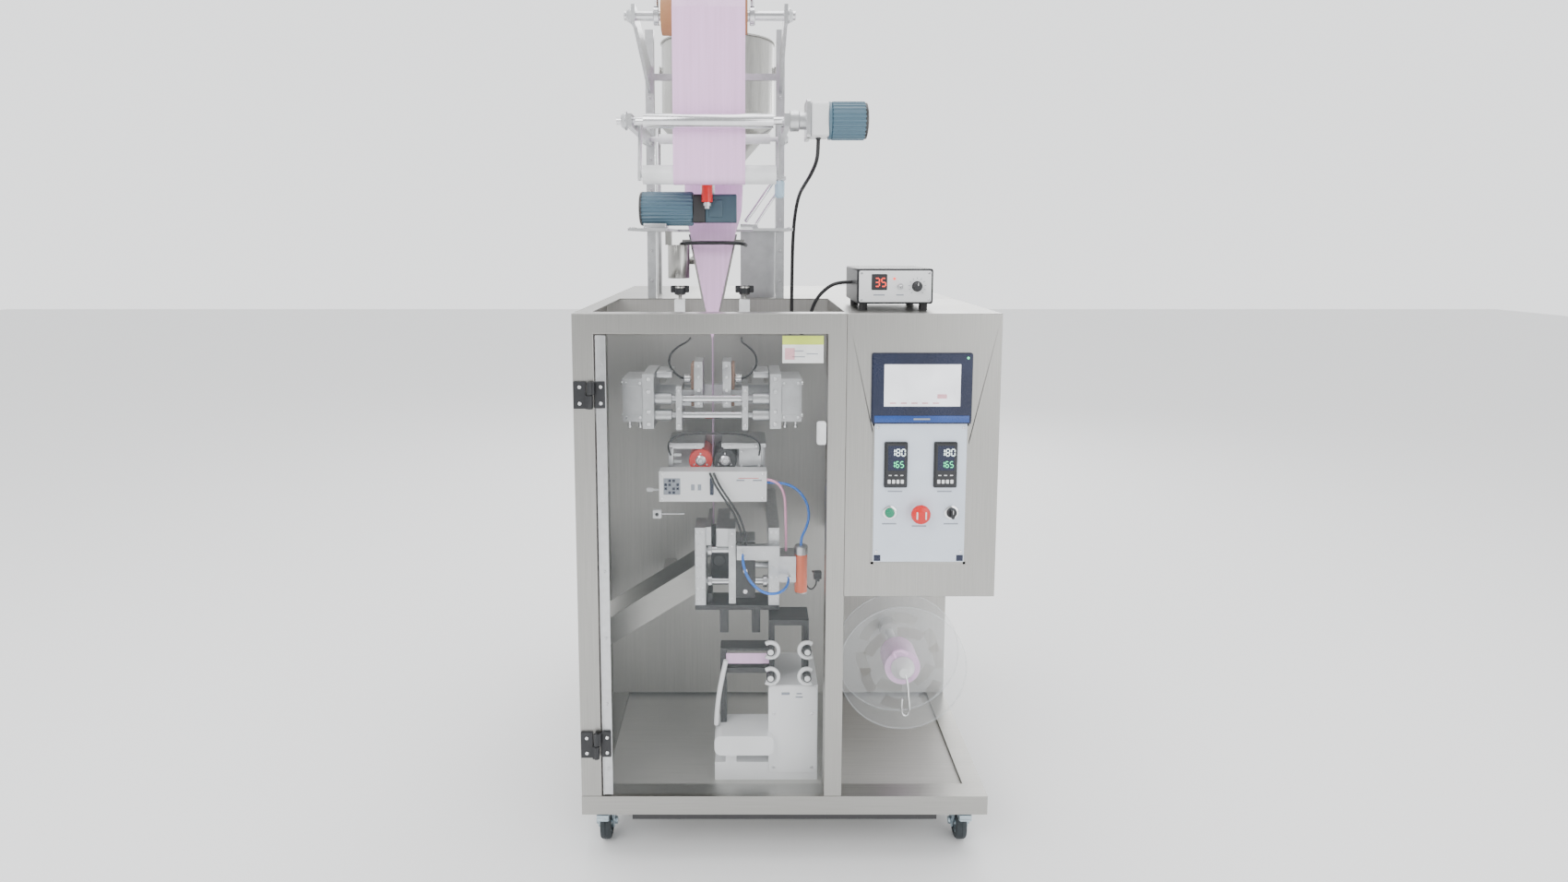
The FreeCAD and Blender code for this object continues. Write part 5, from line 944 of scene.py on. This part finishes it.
def make_film():
    """The web from the roll round the rollers, then folded over the former into a strip of two layers."""
    dancer, guide = (-403, 1479), (-108, 1585)
    lean = 0.9
    r1, r2 = 20 + lean, 12 + lean
    dy, dz = guide[0] - dancer[0], guide[1] - dancer[1]
    climb = math.atan2(dz, dy) + math.asin((r1 + r2) / math.hypot(dy, dz))
    runs = [np.column_stack([np.full(14, dancer[0] - r1), np.linspace(1741, 1485, 14)])]
    turn1 = np.linspace(math.pi, math.pi * 1.5 + climb, 18)
    runs.append(np.column_stack([dancer[0] + r1 * np.cos(turn1), dancer[1] + r1 * np.sin(turn1)]))
    turn2 = np.linspace(math.pi / 2 + climb, -0.12, 16)
    arc = np.column_stack([guide[0] + r2 * np.cos(turn2), guide[1] + r2 * np.sin(turn2)])
    share = np.linspace(0, 1, 12)[1:-1, None]
    runs.append(runs[1][-1] * (1 - share) + arc[0] * share)
    runs.append(arc[:8])
    path = np.vstack(runs)
    across = np.linspace(-75, 75, 21)
    lapped = np.vstack([[(-350 - 73.9, 1815)], [(-423.9, 1780)], path])
    points = np.empty((len(lapped), 21, 3))
    points[..., 0] = MIDDLE + across
    points[..., 1:] = lapped[:, None]
    web = piece("film_web_top", {"film": [sheet_of(points, 0.5)]}, None, ["film_web"], 60)
    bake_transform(web)
    levels = np.concatenate([np.linspace(1590, 1370, 12), np.linspace(1360, 1128, 30),
                             np.linspace(1120, 636, 24)])
    half = np.interp(levels, [636, 1120, 1128, 1360, 1400, 1600], [0.9, 1.1, 3.2, 53, 66, 75])
    front = np.interp(levels, [636, 1122, 1128, 1360, 1590], [-294, -294, -293, -244, -94.5])
    side = np.linspace(-1, 1, 45) * 75
    flat = np.minimum(np.abs(side), half[:, None])
    spare = np.abs(side) - flat
    x = MIDDLE + np.sign(side) * (flat - 0.06 * np.minimum(spare, 8))
    y = front[:, None] + spare
    z = np.broadcast_to(levels[:, None], x.shape)
    piece("film_web_low", {"film": [sheet_of(np.stack([x, y, z], -1), 0.5)]}, "cabinet",
          (), 60)
    bridge_points = np.empty((10, 21, 3))
    bridge_points[..., 0] = MIDDLE + across
    bridge_points[:8, :, 1:] = arc[7:15, None]
    bridge_points[8:, :, 1:] = np.array([(-94.6, 1588), (-94.6, 1584)])[:, None]
    piece("film_web_turn", {"film": [sheet_of(bridge_points, 0.5)]}, "cabinet", (), 60)


# ---------------------------------------------------------------- working bay

def make_sealer():
    """Ram caps, guide bushes, bolts, spouts and heated bars of the vertical sealer."""
    metal, bright, spouts = [], [], []
    for side in (-1, 1):
        for lift in (985, 947):
            metal.append(turned([(side * 130, 12), (side * 128, 13.5), (side * 92, 13.5), (side * 91, 12),
                                 (side * 91, 8.6), (side * 130, 8.6), (side * 130, 12)],
                                (MIDDLE, -312, lift), "x", 36))
        outer = MIDDLE + side * 202
        bright += [screw((outer, y, z), "x", 4, 3.4, side) for y in (-312, -228) for z in (946, 1020)]
        bright += [screw((MIDDLE + side * 142, -340, z), "y", 4.6, 3) for z in (932, 960, 1006, 1034)]
        bright += [screw((MIDDLE + side * x, -324, z), "y", 3.4, 3) for x in (162, 194)
                   for z in (944, 1022)]
        first, last = sorted((MIDDLE + side * 157, MIDDLE + side * 199))
        metal.append(plate((first, -325.4, 950), (last, -324, 1016), 5, "y", 0.5))
        for x in (166, 190):
            spouts.append(turned([(0, 0), (0, 5), (-5, 5), (-5, 3.6), (-12, 3.6), (-13, 4.6), (-18, 4.2),
                                  (-20, 0)], (MIDDLE + side * x, -300, 934), "z", 20))
        metal.append(block((MIDDLE + side * 92, -300, 1030), (MIDDLE + side * 128, -210, 1044), 2))
    rods = [roller((MIDDLE, -312, z), "x", 66, 8.25, 0.4) for z in (985, 947)]
    piece("sealer_trim", {"aluminium": metal, "chrome": bright + rods + spouts}, "cabinet")
    for name, side in (("left", -1), ("right", 1)):
        jackets, clamps, heads = [], [], []
        first, last = sorted((MIDDLE + side * 42.2, MIDDLE + side * 50))
        jackets.append(block((first, -284, 1000), (last, -230, 1060), 2))
        jackets.append(block((first, -286, 962), (last, -262, 986), 2))
        heads += [screw((MIDDLE + side * 74.5, -334, z), "y", 4, 3) for z in (928, 966, 1006)]
        heads += [screw((MIDDLE + side * 32, -292, z), "y", 3.6, 3) for z in (970, 1000, 1030, 1056)]
        clamps.append(block((MIDDLE + side * 22.6, -293, 985), (MIDDLE + side * 43, -288, 1052), 1))
        clamps.append(turned([(side * 66, 12), (side * 64, 14), (side * 54, 14), (side * 52, 12),
                              (side * 52, 0), (side * 66, 0), (side * 66, 12)],
                             (MIDDLE, -262, 982), "x", 32))
        coils = np.linspace(0, 2 * math.pi * 6, 100)
        spring = np.column_stack([MIDDLE + side * (52 + 14 * coils / coils[-1]), -268 + 10 * np.cos(coils),
                                  1024 + 10 * np.sin(coils)])
        piece(f"heated_bar_{name}", {
            "insulation": jackets,
            "aluminium": clamps,
            "chrome": heads + [wire(spring, 1.3, 8, 1, False)]}, f"seal_{name}")


def make_pull():
    """Silicone and rubber pull rollers, brackets, and the printed cover in front of them, whose slot is a
    flat patch of painted shade.
    """
    for name, side, look in (("left", -1, "red_silicone"), ("right", 1, "dark_rubber")):
        centre = (MIDDLE + side * 27.9, 0, PULL_LEVEL)
        tread = turned([(-302, 12), (-303, 20), (-303, 25), (-301.5, 27), (-210, 27), (-208.6, 25),
                        (-208.6, 12), (-302, 12)], centre, "y", 64)
        shaft = [turned([(-304, 0), (-304, 9), (-302, 12.2), (-208, 12.2), (-208, 8), (-188, 8), (-188, 0)],
                        centre, "y", 36),
                 turned([(-309, 0), (-309, 5), (-308, 6), (-303, 6), (-303, 0)], centre, "y", 6)]
        dots = [screw(p, "y", 2, 1.4) for p in disc_row(3, (centre[0], -303, PULL_LEVEL), "y", 17)]
        piece(f"pull_{name}_look", {
            look: [tread],
            "ground_steel": shaft + dots}, f"pull_{name}", [f"pull_roller_{name}"])
    bracket = [block((-262, -305, 866), (-184, -301, 880), 1.5),
               block((-136, -305, 866), (-50, -301, 880), 1.5),
               block((-262, -305, 806), (-250, -301, 870), 1.5),
               block((-250, -304, 832), (-232, -300, 840), 1),
               block((-250, -304, 848), (-232, -300, 856), 1),
               block((-100, -307, 822), (-48, -304, 868), 3)]
    heads = [screw((x, -305, 873), "y", 3, 2.4) for x in (-256, -200, -120, -60)]
    heads += [screw((x, -307, z), "y", 3, 2.4) for x in (-94, -54) for z in (828, 861)]
    piece("pull_brackets", {"aluminium": bracket, "ground_steel": heads}, "cabinet")
    face = -352
    label = [lozenge(-250, 792, face, 38, 38, 0.2, 0.4)]
    cells = [lozenge(-264 + 9 * (n % 4), 805 - 9 * (n // 4), face - 0.4, 6, 6, 0.1, 0.2)
             for n in range(16) if n % 3]
    marks = [lozenge(-203, 790, face, 8, 14), lozenge(-188, 790, face, 8, 14),
             lozenge(-96, 806, face, 18, 3), lozenge(-58, 806, face, 20, 3)]
    red = [lozenge(-78, 811, face, 46, 1.2)]
    # Painted shade: a flat dark patch stands for the shaded inside of the slot in the cover
    slot = [plate((-165, face - 0.6, 772), (-156, face, 812), 3, "y", 0.2)]
    piece("cover_marks_and_slot_shade", {
        "print_grey": label + marks,
        "navy_plastic": cells + slot,
        "red_key": red,
        "chrome": [screw((x, face, z), "y", 3, 2) for x in (-272, -46) for z in (764, 820)]},
        "cabinet")
    pin = [turned([(-30, 0), (-30, 4), (-26, 5), (-18, 5), (-14, 2.2), (0, 2.2), (0, 0)],
                  (-279, -330, 778), "x", 20)]
    eye = [plate((-296, -336, 712), (-276, -326, 732), 3, "y", 1),
           roller((-250, -331, 722), "x", 26, 1.8, 0.3, 12)]
    piece("bag_sensor", {
        "white_plastic": pin + eye[:1],
        "ground_steel": eye[1:],
        "black_plastic": [roller((-286, -336.4, 722), "y", 1, 4, 0.3, 20)]}, "cabinet")


def make_cutter():
    """Plate bolts, chromed rods, dark ledge and legs, air filter and sensor of the cross sealer."""
    bolts, plates = [], []
    for x, reach in ((-186, 12), (-21, 12)):
        bolts += [screw((x + off, -372, z), "y", 3.2, 2.4) for off in (-6, 6)
                  for z in np.linspace(536, 692, 7)]
        plates.append(plate((x - reach + 1, -373.2, 525), (x + reach - 1, -372, 701), 3, "y", 0.4))
    rods = [roller((-92, -337, z), "x", 70, 8.3, 0.4) for z in ROD_LEVELS]
    collars = [turned([(-5, 8), (-5, 13), (-4, 14), (4, 14), (5, 13), (5, 8), (-5, 8)], (x, -337, z), "x", 36)
               for x in (-166, -40) for z in ROD_LEVELS]
    dark = [block((-198.5, -372.6, 512), (-8.5, -301.5, 523.5), 1),
            block((-142.6, -372.6, 458.5), (-123.4, -341.4, 514), 1.5),
            block((-70.6, -372.6, 458.5), (-51.4, -341.4, 514), 1.5),
            block((-172, -360, 524), (-160, -306, 546), 2)]
    cup = [turned([(545, 0), (545, 10), (548, 14.4), (634, 14.6), (636, 14.6), (636, 0)],
                  (41, -350, 0), "z", 36)]
    cap = [turned([(636, 0), (636, 15.4), (652, 15.4), (655.4, 12), (655.4, 0)], (41, -350, 0), "z", 12)]
    fittings = [turned([(0, 0), (0, 5), (-8, 5), (-9, 4.4), (-14, 4.4), (-14, 0)], (-91, -392, 652), "y", 20),
                turned([(0, 0), (0, 5), (-8, 5), (-9, 4.4), (-12, 4.4), (-12, 0)], (12, -365, 588), "y", 20)]
    eye = [block((66, -404, 596), (84, -388, 612), 2), roller((77, -396, 594), "z", 5, 3, 0.5, 16)]
    piece("cutter_trim", {
        "ground_steel": bolts + collars,
        "aluminium": plates + cap,
        "chrome": rods + fittings,
        "black_paint": dark + eye,
        "orange_paint": cup}, "cabinet")
    jaw = [block((-107.4, -373, 540), (-62.6, -366, 668), 2),
           block((-122.4, -373.4, 528), (-106.6, -372, 700), 0.5)]
    gold = [screw((-85, -373, z), "y", 5, 3) for z in (556, 604, 652)] + [screw((-114.5, -373.4, z), "y",
            2.6, 2) for z in (540, 580, 620, 660, 690)]
    heater = [block((-165, -310, 560), (-124, -304, 690), 2),
              turned([(-302, 0), (-302, 16), (-310, 16), (-312, 13), (-312, 0)], (-146, 0, 604), "y", 32)]
    ribs = [block((-150.4, -362, 662), (-148.6, -216, 692), 0.4)]
    piece("jaw_trim", {
        "black_paint": jaw[:1],
        "black_plastic": heater,
        "aluminium": jaw[1:] + ribs,
        "ground_steel": gold}, "cutter_jaw")


def make_coder():
    """Hooks round the ribbon rollers, ribbon, prints, and screws of the date coder."""
    hooks, rubber = [], []
    turn = np.linspace(-2.2, 2.2, 26)
    for x, way in ((-30, 1), (50, -1)):
        for z in (393, 453):
            arc = np.column_stack([x + way * 17 * np.cos(turn), np.full(26, -444.0), z + 17 * np.sin(turn)])
            ring = wire(arc, 4.6, 12, 1, False)
            hooks.append(ring)
            rubber.append(turned([(-456, 0), (-456, 8), (-455, 9), (-436, 9), (-435, 8), (-435, 0)],
                                 (x, 0, z), "y", 28))
            hooks.append(turned([(-457.5, 0), (-457.5, 5), (-456, 6.5), (-456, 0)], (x, 0, z), "y", 20))
    ribbon = [sheet_of(np.stack(np.meshgrid(np.linspace(-128, -32, 12), np.linspace(397, 421, 5),
                                            indexing="ij") + [np.zeros((12, 5))], -1)[..., [0, 2, 1]]
                       + np.array([0, -395, 0]), 0.6)]
    bend = np.linspace(0, 1, 14)
    cover = [plate((-152, -432.5, 212), (-36, -430, 256), 12, "y", 1.2),
             plate((-34, -432, 160), (74, -430, 364), 10, "y", 1)]
    marks = [lozenge(-118, 236, -432.6, 22, 6), lozenge(4, 346, -432, 18, 6), lozenge(34, 346, -432, 12, 3),
             lozenge(34, 338, -432, 16, 3)]
    heads = [screw((x, -432, z), "y", 3.4, 2.4) for x in (-22, 62)
             for z in (174, 300)] + [screw((-144, -432.4, 234), "y", 4, 2.4)]
    arm = [wire(np.column_stack([-150 + 22 * bend, np.full(14, -410.0), 262 + 150 * bend ** 0.6]),
                5.5, 14, 1, False)]
    piece("coder_trim", {
        "cover_white": hooks + cover + arm,
        "dark_rubber": rubber,
        "film": ribbon,
        "print_grey": marks,
        "ground_steel": heads}, "cabinet")


def slotted(centre, inner, outer, half, slots=6):
    """A disc with a ring of curved slots: cells of a polar grid are left out, then it gets its thickness."""
    radii = np.linspace(inner, outer, 11)
    angle = np.arange(120) * 2 * math.pi / 120
    keep = np.ones((10, 120), bool)
    window = (np.arange(120) % (120 // slots)) < (120 // slots) * 0.62
    keep[4:6] = ~window
    index = np.arange(11 * 120).reshape(11, 120)
    after = np.roll(index, -1, axis=1)
    cells = np.stack([index[:-1], index[1:], after[1:], after[:-1]], -1)[keep]
    built = bmesh.new()
    x = centre[0] + radii[:, None] * np.cos(angle)
    z = centre[2] + radii[:, None] * np.sin(angle)
    verts = [built.verts.new(v) for v in np.stack([x, np.full(x.shape, centre[1]), z], -1).reshape(-1, 3)]
    for cell in cells:
        built.faces.new([verts[corner] for corner in cell])
    bmesh.ops.solidify(built, geom=built.faces[:], thickness=2 * half)
    built.verts.index_update()
    points = np.array([v.co[:] for v in built.verts])
    faces = [[v.index for v in face.verts] for face in built.faces]
    built.free()
    return points, faces


def make_reel():
    """Slotted clear discs, wound strip, tapered hub and bent wire of the take-up reel."""
    x, z = 288, 333
    planes = (-293.5, -213.5)
    discs = [slotted((x, y, z), 27, 151.5, 1.4) for y in planes]
    rims = [turned([(-1.8, 149.5), (-1.8, 152), (1.8, 152), (1.8, 149.5), (-1.8, 149.5)], (x, y, z), "y",
                   96) for y in planes]
    steps = np.linspace(28, 42, 18)
    wound = turned(np.vstack([np.column_stack([-290 + 0.3 * (np.arange(18) % 2), steps]),
                              np.column_stack([-217 - 0.3 * (np.arange(18) % 2), steps])[::-1],
                              [(-290, 28)]]), (x, 0, z), "y", 64)
    hub = turned([(-318, 0), (-318, 12), (-316, 14), (-297, 26), (-295, 28), (-215, 28), (-215, 10),
                  (-76, 10), (-76, 0)], (x, 0, z), "y", 48)
    hook = wire([(x + 2, -316, z - 4), (x + 6, -319, z - 20), (x + 10, -319, z - 60),
                 (x + 12, -319, z - 92), (x + 6, -319, z - 104), (x - 3, -319, z - 101),
                 (x - 6, -319, z - 90), (x - 5, -319, z - 62)], 2.4, 12, 8)
    tail = [wire([(x - 20, -300, z + 30), (x - 24, -304, z + 44), (x - 8, -306, z + 50),
                  (x + 8, -304, z + 40)], 4, 10, 6)]
    piece("takeup_reel_look", {
        "clear_disc": discs + rims,
        "film_solid": [wound] + tail,
        "white_plastic": [hub],
        "chrome": [hook]}, "takeup_reel", ["takeup_reel"])


# ---------------------------------------------------------------- properties, operators and the panel

class StageSettings(PropertyGroup):
    lens: FloatProperty(name="Lens", description="Focal length on a 36 mm sensor", default=19.9, min=10,
                        max=120, unit="CAMERA")
    pitch: FloatProperty(name="Pitch", description="Downward tilt of the camera in degrees", default=6.2)
    shift_x: FloatProperty(name="Shift X", description="Sideways lens shift", default=0.0235)
    shift_y: FloatProperty(name="Shift Y", description="Upward lens shift", default=-0.07)
    daylight: FloatProperty(name="Daylight", description="Strength of the pale world", default=2.0, min=0)


class Looks(PropertyGroup):
    steel: FloatVectorProperty(name="Steel", description="Tone of the brushed steel", subtype="COLOR",
                               default=(0.43, 0.425, 0.405))
    motor: FloatVectorProperty(name="Motors", description="Paint of the motors", subtype="COLOR",
                               default=(0.085, 0.16, 0.215))
    film: FloatVectorProperty(name="Film", description="Colour of the film", subtype="COLOR",
                              default=(0.97, 0.62, 0.95))
    film_alpha: FloatProperty(name="Film cover", description="How much the film hides",
                              default=0.9, min=0, max=1)


class Sizes(PropertyGroup):
    motor_ribs: IntProperty(name="Motor ribs", description="Cooling ribs round a motor",
                            default=26, min=6, max=60)


class StageOperator(Operator):
    """Build the stage"""
    bl_idname = "sachet.stage"
    bl_label = "Stage"

    def execute(self, context):
        make_stage(context.scene.sachet_stage)
        return {"FINISHED"}


class FinishesOperator(Operator):
    """Make the materials"""
    bl_idname = "sachet.finishes"
    bl_label = "Finishes"

    def execute(self, context):
        make_materials(context.scene.sachet_looks)
        return {"FINISHED"}


class CordsOperator(Operator):
    """Make the cables and hoses"""
    bl_idname = "sachet.cords"
    bl_label = "Cords"

    def execute(self, context):
        make_cords()
        return {"FINISHED"}


class FrameOperator(Operator):
    """Dress the CAD frame"""
    bl_idname = "sachet.frame"
    bl_label = "Frame"

    def execute(self, context):
        dress_frame()
        return {"FINISHED"}


class DoorOperator(Operator):
    """Trim, label, hinge leaves and grip of the clear door"""
    bl_idname = "sachet.door"
    bl_label = "Front door"

    def execute(self, context):
        make_door()
        return {"FINISHED"}


class RearOperator(Operator):
    """Louvres and latch of the rear door"""
    bl_idname = "sachet.rear"
    bl_label = "Rear door"

    def execute(self, context):
        make_rear()
        return {"FINISHED"}


class PanelOperator(Operator):
    """Screen, meters, rings and marks of the operator panel"""
    bl_idname = "sachet.panel"
    bl_label = "Operator panel"

    def execute(self, context):
        make_panel()
        return {"FINISHED"}


class KeysOperator(Operator):
    """Start key, mushroom and selector"""
    bl_idname = "sachet.keys"
    bl_label = "Keys"

    def execute(self, context):
        make_keys()
        return {"FINISHED"}


class DeskUnitOperator(Operator):
    """Face, display, dial and toggle of the small controller"""
    bl_idname = "sachet.desk_unit"
    bl_label = "Desk unit"

    def execute(self, context):
        make_desk_unit()
        return {"FINISHED"}


class CastersOperator(Operator):
    """Wheels, nuts and bolts of the casters"""
    bl_idname = "sachet.casters"
    bl_label = "Casters"

    def execute(self, context):
        make_casters()
        return {"FINISHED"}


class UnwindOperator(Operator):
    """Film roll, core, shaft and knobs"""
    bl_idname = "sachet.unwind"
    bl_label = "Unwind"

    def execute(self, context):
        make_unwind()
        return {"FINISHED"}


class TowerOperator(Operator):
    """Bearings, motors, pump and former fittings"""
    bl_idname = "sachet.tower"
    bl_label = "Tower"

    def execute(self, context):
        make_tower(context.scene.sachet_sizes.motor_ribs)
        return {"FINISHED"}


class FilmOperator(Operator):
    """Film from the roll over the former to the strip"""
    bl_idname = "sachet.film"
    bl_label = "Film"

    def execute(self, context):
        make_film()
        return {"FINISHED"}


class SealerOperator(Operator):
    """Bushes, rods, bolts and heated bars"""
    bl_idname = "sachet.sealer"
    bl_label = "Vertical sealer"

    def execute(self, context):
        make_sealer()
        return {"FINISHED"}


class PullOperator(Operator):
    """Pull rollers, brackets and cover marks"""
    bl_idname = "sachet.pull"
    bl_label = "Pull unit"

    def execute(self, context):
        make_pull()
        return {"FINISHED"}


class CutterOperator(Operator):
    """Plates, rods, filter and jaw trim"""
    bl_idname = "sachet.cutter"
    bl_label = "Cross sealer"

    def execute(self, context):
        make_cutter()
        return {"FINISHED"}


class CoderOperator(Operator):
    """Hooks, rollers, ribbon and prints"""
    bl_idname = "sachet.coder"
    bl_label = "Coder"

    def execute(self, context):
        make_coder()
        return {"FINISHED"}


class ReelOperator(Operator):
    """Discs, strip, hub and wire"""
    bl_idname = "sachet.reel"
    bl_label = "Take-up reel"

    def execute(self, context):
        make_reel()
        return {"FINISHED"}


STEPS = (StageOperator, FinishesOperator, CordsOperator, FrameOperator, DoorOperator, RearOperator,
         PanelOperator, KeysOperator, DeskUnitOperator, CastersOperator, UnwindOperator, TowerOperator,
         FilmOperator, SealerOperator, PullOperator, CutterOperator, CoderOperator, ReelOperator)


class SachetPanel(Panel):
    """Sizes, colours and steps of the machine"""
    bl_idname = "VIEW3D_PT_sachet"
    bl_label = "Sachet machine"
    bl_space_type = "VIEW_3D"
    bl_region_type = "UI"
    bl_category = "Sachet machine"

    def draw(self, context):
        for settings in (context.scene.sachet_stage, context.scene.sachet_looks,
                         context.scene.sachet_sizes):
            for key in settings.bl_rna.properties.keys():
                if key not in ("rna_type", "name"):
                    self.layout.prop(settings, key)
        for step in STEPS:
            self.layout.operator(step.bl_idname)


CLASSES = (StageSettings, Looks, Sizes) + STEPS + (SachetPanel,)


def register():
    for cls in CLASSES:
        bpy.utils.register_class(cls)
    bpy.types.Scene.sachet_stage = PointerProperty(type=StageSettings)
    bpy.types.Scene.sachet_looks = PointerProperty(type=Looks)
    bpy.types.Scene.sachet_sizes = PointerProperty(type=Sizes)


def unregister():
    for name in ("sachet_stage", "sachet_looks", "sachet_sizes"):
        delattr(bpy.types.Scene, name)
    for cls in reversed(CLASSES):
        bpy.utils.unregister_class(cls)


def main():
    """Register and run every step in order."""
    register()
    for step in STEPS:
        group, call = step.bl_idname.split(".")
        getattr(getattr(bpy.ops, group), call)()


if __name__ == "__main__":
    main()
